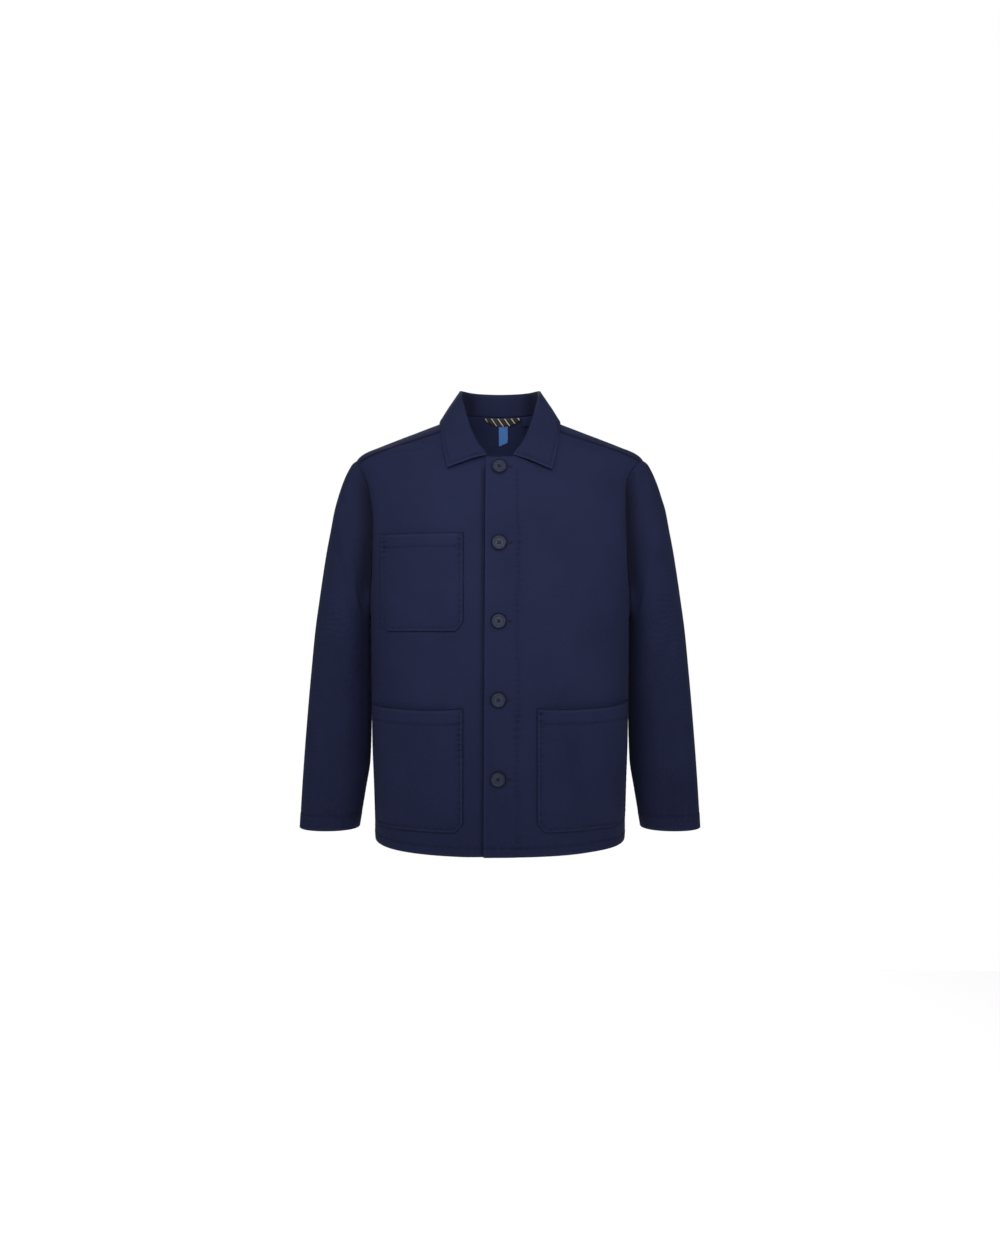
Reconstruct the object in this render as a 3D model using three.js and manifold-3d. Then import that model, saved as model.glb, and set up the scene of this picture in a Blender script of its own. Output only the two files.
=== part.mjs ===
// A men's cotton chore jacket of about size M, filled out as if worn, with nobody in it.
// It has two fronts, a back, two sleeves, a one-piece collar, three patch pockets, five buttons,
// a hanger loop and two plain labels at the back of the neck.
// Millimetres. +X is the wearer's left, -Y the front and +Z up. The origin is the middle of the neck,
// level with the tops of the shoulders, where a wearer carries the jacket.
import * as THREE from "three";
import { mergeVertices } from "three/addons/utils/BufferGeometryUtils.js";
import Module from "manifold-3d";

const wasm = await Module();
wasm.setup();

// Thickness of each cloth, and the gaps that keep the pieces apart.
const TWILL = 1.4;
const COLLAR_TWILL = 2.2;
const TAPE = 1.0;
const SEAM_GAP = 0.4;
const SET_IN = 0.1;
const LAYER_GAP = 0.3;

// Heights of the body, from the hem to the back of the neck.
const HEM_Z = -709;
const HEM_RISE = 7;
const HEM_CORNER_RISE = 5;
const UNDERARM_Z = -339;
const SHOULDER_Z = -78;
const NECK_FRONT_Z = -84;
const NECK_SEAM_Z = -14.5;
const NAPE_Z = 10.5;

// The front edge: how far it passes the line of buttons, and where that line runs.
const OVERLAP = 21.5;
const BUTTON_LINE_TOP_X = -0.8;
const BUTTON_LINE_HEM_X = -3.6;

// The neck hole in the front view, and how far the shoulder seam sits in front of the shoulder's ridge.
const NECK_HALF_WIDTH = 72;
const NECK_ROUNDNESS = 2.2;
const NECK_TOP_Z = -8;
const NECK_BOTTOM_Z = NECK_FRONT_Z - 2;
const COLLAR_START_X = 22;
const SEAM_FORWARD_AT_ARM = 14;

// The armhole is upright, an oval below and an arch above: its half depth, front to back, how pointed
// the arch is in front of each side and behind (1 is round), and where its middle lies.
const ARMHOLE_HALF_DEPTH = 76;
const ARMHOLE_ARCH = { frontLeft: 0.95, frontRight: 1.6, back: 1.5 };
const ARCH_FADES = [-0.2, 0.3];
const ARMHOLE_MIDDLE = { mean: -1.5, topToUnderarm: -7, endsToSides: -5.5 };

// Patch pockets. The sides of a pocket are lines down the front, so each is given by its place across it.
const POCKET_INNER_X = 57;
const CHEST_POCKET = { top: -207, bottom: -361, outerAngle: 64.7, width: 141 };
const HIP_POCKET = { top: -480, bottom: -672, outerAngle: 74, width: 190 };
const POCKET_CORNER = 14;

const BUTTON_DIAMETER = 21.6;
const BUTTON_THICKNESS = 3.4;
const BUTTON_DISH = 2.3;
const BUTTON_SIDES = 16;
const BUTTON_HOLE_SIDES = 6;
const BUTTON_HOLE_DIAMETER = 2.2;
const BUTTON_HOLE_SPACING = 4;
const TOP_BUTTON_Z = -101;
const BUTTON_SPACING = 122;
const BUTTON_COUNT = 5;

// Level sections of the body, from the hem up: half the width, the depth of the front and of the back
// from the side seams, and how square the corners are (2 is an ellipse).
const BODY_SECTIONS = [
  { z: -710, half: 206, front: 150, back: 137, square: 2.5 },
  { z: -620, half: 208.5, front: 150, back: 132, square: 2.6 },
  { z: -540, half: 211.5, front: 149, back: 128, square: 2.6 },
  { z: -430, half: 213, front: 146, back: 125, square: 2.6 },
  { z: -339, half: 214, front: 143, back: 127, square: 2.6 },
  { z: -280, half: 221, front: 139, back: 128, square: 2.5 },
  { z: -220, half: 229, front: 133, back: 127, square: 2.45 },
  { z: -160, half: 233, front: 124, back: 123, square: 2.4 },
  { z: -120, half: 236, front: 113, back: 117, square: 2.3 },
  { z: -99, half: 240, front: 104.5, back: 112, square: 2.22 },
  { z: -87, half: 240.5, front: 100, back: 109.5, square: 2.16 },
  { z: -78, half: 238.5, front: 96.5, back: 107, square: 2.12 },
  { z: -67, half: 227, front: 92, back: 103.5, square: 2.07 },
  { z: -57, half: 204.5, front: 87, back: 100.5, square: 2.0 },
  { z: -47, half: 179.5, front: 83, back: 97, square: 2.0 },
  { z: -37, half: 154, front: 78, back: 92.5, square: 2.0 },
  { z: -27, half: 128, front: 72, back: 88, square: 2.0 },
  { z: -17, half: 102.5, front: 64, back: 83.5, square: 2.0 },
  { z: -5, half: 78, front: 54, back: 78, square: 2.0 },
  { z: 12, half: 62, front: 40, back: 71, square: 2.0 },
];

// Sections of the left sleeve from the armhole down. Each is an oval between a point on the outer edge
// and one on the inner edge of the front view, with its middle and half its depth from front to back.
const SLEEVE_SECTIONS = [
  { t: 0, outerX: 238, outerZ: -78, innerX: 216, innerZ: -339, middleY: 3, halfDepth: 76 },
  { t: 1, outerX: 245, outerZ: -82.5, innerX: 217.6, innerZ: -342, middleY: 4, halfDepth: 76 },
  { t: 2, outerX: 252, outerZ: -91.5, innerX: 218, innerZ: -345, middleY: 5, halfDepth: 76 },
  { t: 3, outerX: 260, outerZ: -107, innerX: 218, innerZ: -349, middleY: 6, halfDepth: 76 },
  { t: 4, outerX: 268.5, outerZ: -130, innerX: 218, innerZ: -354, middleY: 8, halfDepth: 76.5 },
  { t: 5, outerX: 276.4, outerZ: -158, innerX: 218, innerZ: -361, middleY: 9, halfDepth: 77 },
  { t: 6, outerX: 283, outerZ: -191, innerX: 218, innerZ: -370, middleY: 11, halfDepth: 77 },
  { t: 7, outerX: 289.5, outerZ: -224, innerX: 218, innerZ: -382, middleY: 12, halfDepth: 77 },
  { t: 8, outerX: 296, outerZ: -263, innerX: 218, innerZ: -398, middleY: 13, halfDepth: 76 },
  { t: 9, outerX: 303, outerZ: -309, innerX: 218, innerZ: -420, middleY: 14, halfDepth: 74 },
  { t: 10, outerX: 310, outerZ: -359, innerX: 218, innerZ: -448, middleY: 14, halfDepth: 71 },
  { t: 11, outerX: 316, outerZ: -420, innerX: 218, innerZ: -483, middleY: 13, halfDepth: 67 },
  { t: 12, outerX: 322, outerZ: -490, innerX: 218, innerZ: -525, middleY: 10, halfDepth: 62 },
  { t: 13, outerX: 327, outerZ: -561, innerX: 219, innerZ: -575, middleY: 5, halfDepth: 56 },
  { t: 14, outerX: 330.5, outerZ: -622, innerX: 226.5, innerZ: -628, middleY: 0, halfDepth: 51 },
  { t: 15, outerX: 333.5, outerZ: -687, innerX: 236, innerZ: -687, middleY: -5, halfDepth: 47 },
];
const SLEEVE_ROUNDNESS = 2.15;
// A sleeve's mean radius and the mean length between its sections, on which its folds are laid out.
const SLEEVE_RADIUS = 60;
const SECTION_STEP = 45;
const SLEEVE_AXIS = { x: 268, y: 8 };

// The left half of the collar, from its front end (0) past the shoulder seam (4) to the middle of the
// back (8), and one row beyond: the fold at the top, and the outer edge of the fall, which lies on the body.
const COLLAR_STATIONS = [
  { u: 0, foldX: 22, foldY: -97, foldZ: -80, edgeX: 82, edgeY: -112, edgeZ: -104 },
  { u: 1, foldX: 37, foldY: -83, foldZ: -59, edgeX: 87, edgeY: -104, edgeZ: -84 },
  { u: 2, foldX: 49, foldY: -67, foldZ: -30, edgeX: 92, edgeY: -92, edgeZ: -62 },
  { u: 3, foldX: 58, foldY: -46, foldZ: 2, edgeX: 95, edgeY: -70, edgeZ: -40 },
  { u: 4, foldX: 64, foldY: -20, foldZ: 30, edgeX: 97, edgeY: -38, edgeZ: -24 },
  { u: 5, foldX: 64, foldY: 12, foldZ: 43, edgeX: 95, edgeY: 6, edgeZ: -14 },
  { u: 6, foldX: 56, foldY: 46, foldZ: 49, edgeX: 86, edgeY: 54, edgeZ: -14 },
  { u: 7, foldX: 34, foldY: 69, foldZ: 51, edgeX: 52, edgeY: 88, edgeZ: -12 },
  { u: 8, foldX: 0, foldY: 79, foldZ: 52, edgeX: 0, edgeY: 100, edgeZ: -9 },
  { u: 9, foldX: -34, foldY: 69, foldZ: 51, edgeX: -52, edgeY: 88, edgeZ: -12 },
];
const COLLAR_FOLD_RADIUS = 1.8;
const COLLAR_FOLD_STEPS = 3;
// The fall leaves the fold, bulges by the roll half way down, and lies clear of the body by the lift.
const COLLAR_ROLL = 1;
const COLLAR_LIFT = 1.6;
// The right point of the collar lies this much further out and up than the left one.
const RIGHT_POINT = { out: 1.5, up: 4, fadesBy: 1.6 };
const FALL_SHARES = [0.3, 0.62, 1];
const CLEARING_STEPS = 6;

// Soft folds of the body, as troughs (a depth below zero is a ridge) from one place to another.
// angle runs round the body from the middle of the front, in degrees, wearer's left positive.
const BODY_FOLDS = [
  { angle1: 36, z1: -455, angle2: 53, z2: -700, width: 30, depth: 5 },
  { angle1: 62, z1: -430, angle2: 66, z2: -690, width: 24, depth: -3 },
  { angle1: -28, z1: -345, angle2: -52, z2: -300, width: 24, depth: 3.5 },
  { angle1: -60, z1: -420, angle2: -44, z2: -640, width: 34, depth: 3.5 },
  { angle1: 58, z1: -160, angle2: 40, z2: -300, width: 34, depth: 3 },
  { angle1: 112, z1: -360, angle2: 128, z2: -690, width: 30, depth: 6 },
  { angle1: -110, z1: -380, angle2: -131, z2: -700, width: 32, depth: 6 },
  { angle1: 140, z1: -190, angle2: 152, z2: -520, width: 34, depth: 5 },
  { angle1: -143, z1: -210, angle2: -155, z2: -560, width: 34, depth: 5 },
  { angle1: 178, z1: -420, angle2: 172, z2: -700, width: 40, depth: -4 },
];

// Soft folds of each sleeve, placed by its section and by the angle round it from its top, front positive.
const SLEEVE_FOLDS = [
  { side: 1, t1: 2.2, turn1: 70, t2: 4.6, turn2: 28, width: 16, depth: 3 },
  { side: 1, t1: 9.6, turn1: 60, t2: 10.6, turn2: 120, width: 20, depth: 3.5 },
  { side: 1, t1: 11, turn1: 85, t2: 14, turn2: 60, width: 22, depth: 2.5 },
  { side: 1, t1: 10.6, turn1: -70, t2: 11.4, turn2: -130, width: 20, depth: 4 },
  { side: 1, t1: 8.6, turn1: -60, t2: 9.4, turn2: -120, width: 22, depth: 3 },
  { side: -1, t1: 3, turn1: 76, t2: 6, turn2: 52, width: 20, depth: 2.5 },
  { side: -1, t1: 9.9, turn1: 64, t2: 10.7, turn2: 124, width: 20, depth: 3 },
  { side: -1, t1: 11.2, turn1: 70, t2: 14.2, turn2: 96, width: 24, depth: 3 },
  { side: -1, t1: 10.4, turn1: -66, t2: 11.5, turn2: -126, width: 20, depth: 4 },
  { side: -1, t1: 8.4, turn1: -50, t2: 9.2, turn2: -118, width: 22, depth: 3 },
];

const radians = THREE.MathUtils.degToRad;
const lerp = THREE.MathUtils.lerp;
const clamp = THREE.MathUtils.clamp;
const smooth = THREE.MathUtils.smoothstep;

// The slope of the smooth curve at row i, level at any peak so that the curve never overshoots.
function slopeAt(table, place, key, i) {
  const rise = (j) => (table[j + 1][key] - table[j][key]) / (table[j + 1][place] - table[j][place]);
  if (i === 0) return rise(0);
  if (i === table.length - 1) return rise(i - 1);
  const before = rise(i - 1);
  const after = rise(i);
  return before * after <= 0 ? 0 : (2 * before * after) / (before + after);
}

// Reads one column of a table at any place along it, on a smooth curve through its rows.
function column(table, place, key, at) {
  let i = 0;
  while (i < table.length - 2 && at > table[i + 1][place]) i += 1;
  const [low, high] = [table[i], table[i + 1]];
  const span = high[place] - low[place];
  const s = clamp((at - low[place]) / span, 0, 1);
  const a = slopeAt(table, place, key, i) * span;
  const b = slopeAt(table, place, key, i + 1) * span;
  const rise = high[key] - low[key];
  return low[key] + s * (a + s * (3 * rise - 2 * a - b + s * (a + b - 2 * rise)));
}

// How far a soft fold draws a place in: full along its line, fading beside it and past its ends.
function foldDepth(across, along, length, width, depth) {
  const past = Math.max(0, -along, along - length);
  const ends = smooth(along, -width, width) * (1 - smooth(along, length - width, length + width));
  return depth * ends * Math.exp(-((across * across + past * past) / (width * width)));
}

// A gap along a level section, as an angle.
const gapAngle = (gap, { x, y }) => gap / Math.hypot(x, y);

function bodySection(z) {
  const read = (key) => column(BODY_SECTIONS, "z", key, z);
  return { half: read("half"), front: read("front"), back: read("back"), square: read("square") };
}

// A point of the body's plain form. The angle runs round from the middle of the front, in radians.
function formPoint(angle, z) {
  const { half, front, back, square } = bodySection(z);
  const depth = Math.cos(angle) > 0 ? front : back;
  const across = Math.abs(Math.sin(angle) / half) ** square;
  const along = Math.abs(Math.cos(angle) / depth) ** square;
  const reach = (across + along) ** (-1 / square);
  return new THREE.Vector3(reach * Math.sin(angle), -reach * Math.cos(angle), z);
}

// The angles at which the form's section at z reaches a given x on the front or back, or a given y.
function angleAtX(x, z, back = false) {
  const { half, front, back: rear, square } = bodySection(z);
  const depth = back ? rear : front;
  const y = depth * (1 - Math.abs(x / half) ** square) ** (1 / square);
  return Math.atan2(x, back ? -y : y);
}

function angleAtY(y, z) {
  const { half, front, back, square } = bodySection(z);
  const x = half * (1 - Math.abs(y / (y < 0 ? front : back)) ** square) ** (1 / square);
  return Math.atan2(x, -y);
}

// The way out of the form at a place, from two short steps along it.
function formNormal(angle, z) {
  const turnStep = 0.01;
  const riseStep = 1;
  const round = formPoint(angle + turnStep, z).sub(formPoint(angle - turnStep, z));
  const up = formPoint(angle, z + riseStep).sub(formPoint(angle, z - riseStep));
  return round.cross(up).normalize();
}

// How far one angle is past another, between half a turn back and half a turn on.
function turnPast(angle, from) {
  const past = angle - radians(from);
  return Math.atan2(Math.sin(past), Math.cos(past));
}

function bodyFoldDepth(angle, z) {
  const { half, front, back } = bodySection(z);
  const girth = (half + (Math.cos(angle) > 0 ? front : back)) / 2;
  let sum = 0;
  for (const fold of BODY_FOLDS) {
    const line = new THREE.Vector2(radians(fold.angle2 - fold.angle1) * girth, fold.z2 - fold.z1);
    const from = new THREE.Vector2(turnPast(angle, fold.angle1) * girth, z - fold.z1);
    const length = line.length();
    line.normalize();
    sum += foldDepth(from.cross(line), from.dot(line), length, fold.width, fold.depth);
  }
  return sum;
}

// A place on the jacket's body, `out` millimetres outside the middle of its cloth.
function bodyPlace(angle, z, out = 0) {
  const normal = formNormal(angle, z);
  const point = formPoint(angle, z).addScaledVector(normal, out - bodyFoldDepth(angle, z));
  return { point, normal };
}

// How far a point is outside the body's form, and the way out.
function outsideForm(p) {
  const value = (x, y, z) => {
    const { half, front, back, square } = bodySection(z);
    const depth = y < 0 ? front : back;
    return (Math.abs(x / half) ** square + Math.abs(y / depth) ** square) ** (1 / square);
  };
  const step = 0.5;
  const slope = new THREE.Vector3(
    value(p.x + step, p.y, p.z) - value(p.x - step, p.y, p.z),
    value(p.x, p.y + step, p.z) - value(p.x, p.y - step, p.z),
    value(p.x, p.y, p.z + step) - value(p.x, p.y, p.z - step),
  ).divideScalar(2 * step);
  return { distance: (value(p.x, p.y, p.z) - 1) / slope.length(), way: slope.normalize() };
}

const SAME_PLACE = 1e-6;

// A patch of cloth is a net of points with their normals, and the triangles between them.
// Rows and columns of the net become two triangles a cell; `keep` may drop some of them.
function net(grid, { closed = false, keep = () => true } = {}) {
  const columns = grid[0].length;
  const faces = [];
  for (let k = 0; k + 1 < grid.length; k += 1) {
    for (let j = 0; j + 1 < columns + (closed ? 1 : 0); j += 1) {
      const next = (j + 1) % columns;
      const [a, b] = [k * columns + j, k * columns + next];
      const [c, d] = [(k + 1) * columns + next, (k + 1) * columns + j];
      if (keep(k, j, "inner")) faces.push([a, b, d]);
      if (keep(k, j, "outer")) faces.push([b, c, d]);
    }
  }
  const places = grid.flat();
  const points = places.map((p) => p.point);
  // Where a row shrinks to one point, its places become one and the empty triangles go.
  const first = [];
  points.forEach((p, i) => {
    const joined = i > 0 && p.distanceTo(points[i - 1]) < SAME_PLACE;
    first.push(joined ? first[i - 1] : i);
  });
  const joinedFaces = faces.map((face) => face.map((v) => first[v]));
  const whole = joinedFaces.filter(([a, b, c]) => a !== b && b !== c && c !== a);
  return { points, normals: places.map((p) => p.normal), faces: whole };
}

// Gives every place of a net the normal that its neighbours in the net have.
function withNetNormals(grid, closed = false) {
  const columns = grid[0].length;
  const columnAt = (j) => (closed ? (j + columns) % columns : clamp(j, 0, columns - 1));
  const at = (k, j) => grid[clamp(k, 0, grid.length - 1)][columnAt(j)];
  return grid.map((row, k) =>
    row.map((place, j) => {
      if (place.normal) return place;
      const across = at(k, j + 1).point.clone().sub(at(k, j - 1).point);
      const along = at(k + 1, j).point.clone().sub(at(k - 1, j).point);
      return { point: place.point, normal: across.cross(along).normalize() };
    }),
  );
}

// Closes a patch into a solid wall between `from` and `to`, measured outwards from its points.
function wall(patch, from, to) {
  const { points, normals } = patch;
  let facing = 0;
  for (const [a, b, c] of patch.faces) {
    const side = points[b].clone().sub(points[a]).cross(points[c].clone().sub(points[a]));
    facing += side.dot(normals[a]);
  }
  const faces = facing > 0 ? patch.faces : patch.faces.map(([a, b, c]) => [a, c, b]);
  const used = [...new Set(faces.flat())];
  const place = new Map(used.map((v, i) => [v, i]));
  const layer = (out) => used.flatMap((v) => points[v].clone().addScaledVector(normals[v], out).toArray());
  const inner = (v) => place.get(v) + used.length;
  const outer = (v) => place.get(v);
  const edges = new Set(faces.flatMap(([a, b, c]) => [`${a},${b}`, `${b},${c}`, `${c},${a}`]));
  const index = [];
  for (const [a, b, c] of faces) {
    index.push(outer(a), outer(b), outer(c), inner(a), inner(c), inner(b));
    for (const [p, q] of [[a, b], [b, c], [c, a]]) {
      if (edges.has(`${q},${p}`)) continue;
      index.push(outer(q), outer(p), inner(p), outer(q), inner(p), inner(q));
    }
  }
  const geometry = new THREE.BufferGeometry();
  geometry.setAttribute("position", new THREE.Float32BufferAttribute([...layer(to), ...layer(from)], 3));
  geometry.setIndex(index);
  return geometry;
}

const navyTwill = new THREE.MeshStandardMaterial({ color: "#262c4a", roughness: 0.85, metalness: 0 });
const navyPlastic = new THREE.MeshStandardMaterial({ color: "#3a4256", roughness: 0.45, metalness: 0 });
const stripedTape = new THREE.MeshStandardMaterial({ color: "#17171a", roughness: 0.8, metalness: 0 });
const blueTape = new THREE.MeshStandardMaterial({ color: "#2f5d9c", roughness: 0.7, metalness: 0 });

const jacket = new THREE.Group();

function add(name, geometry, material) {
  const mesh = new THREE.Mesh(geometry, material);
  mesh.name = name;
  jacket.add(mesh);
  return mesh;
}

// The armhole, as an upright oval laid on the body: a place on it at a turn from its top, front positive.
function armholePlace(side, turn) {
  const { mean, topToUnderarm, endsToSides } = ARMHOLE_MIDDLE;
  const middleZ = (SHOULDER_Z + UNDERARM_Z) / 2;
  const halfHeight = (SHOULDER_Z - UNDERARM_Z) / 2;
  const z = middleZ + halfHeight * Math.cos(turn);
  const middleY = mean + topToUnderarm * Math.cos(turn) + endsToSides * Math.cos(2 * turn);
  const front = side > 0 ? ARMHOLE_ARCH.frontLeft : ARMHOLE_ARCH.frontRight;
  const arch = Math.sin(turn) > 0 ? front : ARMHOLE_ARCH.back;
  const power = lerp(1, arch, smooth(Math.cos(turn), ...ARCH_FADES));
  const y = middleY - ARMHOLE_HALF_DEPTH * Math.sign(Math.sin(turn)) * Math.abs(Math.sin(turn)) ** power;
  return { angle: side * angleAtY(y, z), z };
}

// The neckline of a front: how far it is to the side at each height.
function neckX(z) {
  const down = Math.abs((z - NECK_TOP_Z) / (NECK_BOTTOM_Z - NECK_TOP_Z));
  return NECK_HALF_WIDTH * (1 - Math.min(1, down) ** NECK_ROUNDNESS) ** (1 / NECK_ROUNDNESS);
}

// The shoulder seam runs from the top of the armhole to the end of the front's neckline.
const seamEnd = formPoint(angleAtX(neckX(NECK_SEAM_Z), NECK_SEAM_Z), NECK_SEAM_Z);

function seamAngle(z) {
  const s = (z - SHOULDER_Z) / (NECK_SEAM_Z - SHOULDER_Z);
  return angleAtY(lerp(-SEAM_FORWARD_AT_ARM, seamEnd.y, s), z);
}

function buttonLineX(z) {
  return lerp(BUTTON_LINE_TOP_X, BUTTON_LINE_HEM_X, (z - NECK_FRONT_Z) / (HEM_Z - NECK_FRONT_Z));
}

// The rows of the body's net. Each runs from its inner end, on the front edge, neckline or centre back,
// to its outer end, on the side seam, the armhole or the shoulder seam.
const SIDE_ROWS = [
  HEM_Z, HIP_POCKET.bottom, HIP_POCKET.bottom + POCKET_CORNER, -620, -575, -530, HIP_POCKET.top,
  -440, -400, CHEST_POCKET.bottom, CHEST_POCKET.bottom + POCKET_CORNER, UNDERARM_Z,
];
const ARMHOLE_STEPS = 10;
const DIP_POWER = 0.9;
// What part of the seam's gap each panel leaves along the section; the shoulder seam crosses it aslant.
const SEAM_SHARES = { side: 0.5, armhole: 0, shoulder: 0.8 };
const NECKLINE_ROWS = [-80, -73.5, -64.5, -53, -40.5, -27.5, NECK_SEAM_Z];
const TIP_ROW = SIDE_ROWS.length + ARMHOLE_STEPS - 1;

function bodyRows(side, isBack) {
  const rows = [];
  for (const z of SIDE_ROWS) {
    // The hem rises a little towards the side seams.
    const outerZ = z === HEM_Z ? z + HEM_RISE + HEM_CORNER_RISE : z;
    rows.push({ place: "side", innerZ: z, outerZ, outer: side * angleAtY(0, z) });
  }
  for (let i = 1; i <= ARMHOLE_STEPS; i += 1) {
    const turn = Math.PI * (1 - i / ARMHOLE_STEPS);
    const { angle, z } = armholePlace(side, isBack ? -turn : turn);
    // Above the middle of the armhole the front's rows dip towards the top of the front edge.
    const rise = Math.max(0, (2 * i) / ARMHOLE_STEPS - 1);
    const dipped = lerp(CHEST_POCKET.top, NECK_FRONT_Z, rise ** DIP_POWER);
    rows.push({ place: "armhole", innerZ: isBack || rise === 0 ? z : dipped, outerZ: z, outer: angle });
  }
  rows.at(-1).place = "shoulder";
  NECKLINE_ROWS.forEach((z, i) => {
    const share = (i + 1) / NECKLINE_ROWS.length;
    const outerZ = lerp(SHOULDER_Z, NECK_SEAM_Z, share);
    const innerZ = isBack ? lerp(SHOULDER_Z, NAPE_Z, share) : z;
    rows.push({ place: "shoulder", innerZ, outerZ, outer: side * seamAngle(outerZ) });
  });
  return rows;
}

// Columns of a front: from its edge to the pockets' inner line, across the pockets, and on to the side.
// The row level with the shoulder's tip starts along the top edge, from the front edge to the collar.
const EDGE_CELLS = 4;
const POCKET_CELLS = 11;
const FRONT_CELLS = 18;
const TOP_EDGE_CELLS = 3;
const UNDER_DEPTH = TWILL + 3 * LAYER_GAP;
const UNDER_RAMP = { from: 31, to: 58 };

// The outermost cells of a pocket are as wide as its cut corners, and the rest divide what is between.
function pocketShare(j, chestShare) {
  const corner = POCKET_CORNER / lerp(HIP_POCKET.width, CHEST_POCKET.width, chestShare);
  if (j === 0 || j === POCKET_CELLS) return j / POCKET_CELLS;
  return lerp(corner, 1 - corner, (j - 1) / (POCKET_CELLS - 2));
}

// The places of a front's row as shares of the way from its inner end to its outer end.
function frontShares(row, k, inner, outer) {
  const chestShare = smooth(row.outerZ, HIP_POCKET.top, CHEST_POCKET.bottom);
  const farSide = radians(lerp(HIP_POCKET.outerAngle, CHEST_POCKET.outerAngle, chestShare));
  const nearSide = angleAtX(POCKET_INNER_X, row.innerZ);
  const [near, far] = [nearSide, farSide].map((angle) => (angle - inner) / (outer - inner));
  return Array.from({ length: FRONT_CELLS + 1 }, (_, j) => {
    if (k >= TIP_ROW) return Math.max(0, j - TOP_EDGE_CELLS) / (FRONT_CELLS - TOP_EDGE_CELLS);
    if (row.outerZ > CHEST_POCKET.top + 1) return j / FRONT_CELLS;
    if (j <= EDGE_CELLS) return (near * j) / EDGE_CELLS;
    const past = j - EDGE_CELLS - POCKET_CELLS;
    if (past <= 0) return lerp(near, far, pocketShare(j - EDGE_CELLS, chestShare));
    return lerp(far, 1, past / (FRONT_CELLS - EDGE_CELLS - POCKET_CELLS));
  });
}

// What part of its rise the hem has made at a share of the way to the side seam: a slow curve, and a
// quicker one close to the seam.
function hemShare(share) {
  return (HEM_RISE * share ** 2 + HEM_CORNER_RISE * share ** 8) / (HEM_RISE + HEM_CORNER_RISE);
}

// One front. The wearer's left one (side 1) lies over the right one, which is let in under it.
function frontNet(side) {
  const rows = bodyRows(side, false);
  return rows.map((row, k) => {
    const z = row.innerZ;
    const edgeX = side * buttonLineX(z) - OVERLAP;
    const gap = SEAM_SHARES[row.place] * SEAM_GAP;
    const outer = Math.abs(row.outer) - gapAngle(gap, formPoint(row.outer, row.outerZ));
    const start = k === TIP_ROW ? COLLAR_START_X : neckX(z);
    const inner = k === rows.length - 1 ? outer : angleAtX(k < TIP_ROW ? edgeX : start, z);
    return frontShares(row, k, inner, outer).map((share, j) => {
      const alongTop = k === TIP_ROW && j < TOP_EDGE_CELLS;
      const angle = alongTop
        ? angleAtX(lerp(edgeX, COLLAR_START_X, j / TOP_EDGE_CELLS), z)
        : lerp(inner, outer, share);
      const height = lerp(z, row.outerZ, k === 0 ? hemShare(share) : share);
      const across = formPoint(angle, height).x;
      const under = side > 0 ? 0 : UNDER_DEPTH * (1 - smooth(across, UNDER_RAMP.from, UNDER_RAMP.to));
      return bodyPlace(side * angle, height, -under);
    });
  });
}

const aboveTopEdge = (k, j) => k < TIP_ROW || j >= TOP_EDGE_CELLS;
const leftFront = frontNet(1);
const rightFront = frontNet(-1);
for (const [name, grid] of [["front_left", leftFront], ["front_right", rightFront]]) {
  add(name, wall(net(grid, { keep: aboveTopEdge }), -TWILL / 2, TWILL / 2), navyTwill);
}

// The back is one piece, from side seam to side seam, and reaches over the shoulders to the front seams.
const BACK_COLUMNS = 11;
const NAPE_CURVE = 2.4;

function backNet() {
  const halves = [-1, 1].map((side) =>
    bodyRows(side, true).map((row) => {
      const gap = SEAM_SHARES[row.place] * SEAM_GAP;
      const outer = Math.abs(row.outer) + gapAngle(gap, formPoint(row.outer, row.outerZ));
      const places = [];
      for (let j = 0; j <= BACK_COLUMNS; j += 1) {
        const share = j / BACK_COLUMNS;
        const climb = row.place === "shoulder" ? share ** NAPE_CURVE : hemShare(share);
        places.push(bodyPlace(side * lerp(Math.PI, outer, share), lerp(row.innerZ, row.outerZ, climb)));
      }
      return places;
    }),
  );
  return halves[0].map((row, k) => [...row.slice(1).reverse(), ...halves[1][k]]);
}

const back = add("back", wall(net(backNet()), -TWILL / 2, TWILL / 2), navyTwill);

// A patch pocket is cut from its front's own net and laid on it, with its two lower corners cut off.
function pocket(front, { top, bottom }) {
  const low = SIDE_ROWS.indexOf(bottom);
  const high = top === CHEST_POCKET.top ? SIDE_ROWS.length - 1 + ARMHOLE_STEPS / 2 : SIDE_ROWS.indexOf(top);
  const part = front.slice(low, high + 1).map((row) => row.slice(EDGE_CELLS, EDGE_CELLS + POCKET_CELLS + 1));
  // The lowest row's first cell keeps its upper half alone, and its last cell is cut the other way.
  const last = POCKET_CELLS - 1;
  const keep = (k, j, half) => k > 0 || (j < last && (j > 0 || half === "outer"));
  const patch = net(part, { keep });
  const [farFoot, farAbove] = [last, POCKET_CELLS + 1 + last];
  patch.faces.push([farFoot, farAbove + 1, farAbove]);
  return wall(patch, TWILL / 2 + LAYER_GAP, TWILL * 1.5 + LAYER_GAP);
}

add("chest_pocket", pocket(rightFront, CHEST_POCKET), navyTwill);
add("hip_pocket_right", pocket(rightFront, HIP_POCKET), navyTwill);
add("hip_pocket_left", pocket(leftFront, HIP_POCKET), navyTwill);

// A sleeve is one tube from the armhole to the cuff. At the top its edge meets the body's edge to edge;
// towards the underarm, where it hangs down beside the body, it is laid outside the body's edge instead.
const BESIDE_FROM = radians(68);
const BESIDE_TO = radians(112);
const BESIDE_OUT = TWILL + LAYER_GAP + 2 * SET_IN;
const BLEND_SECTIONS = 5;

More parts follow.
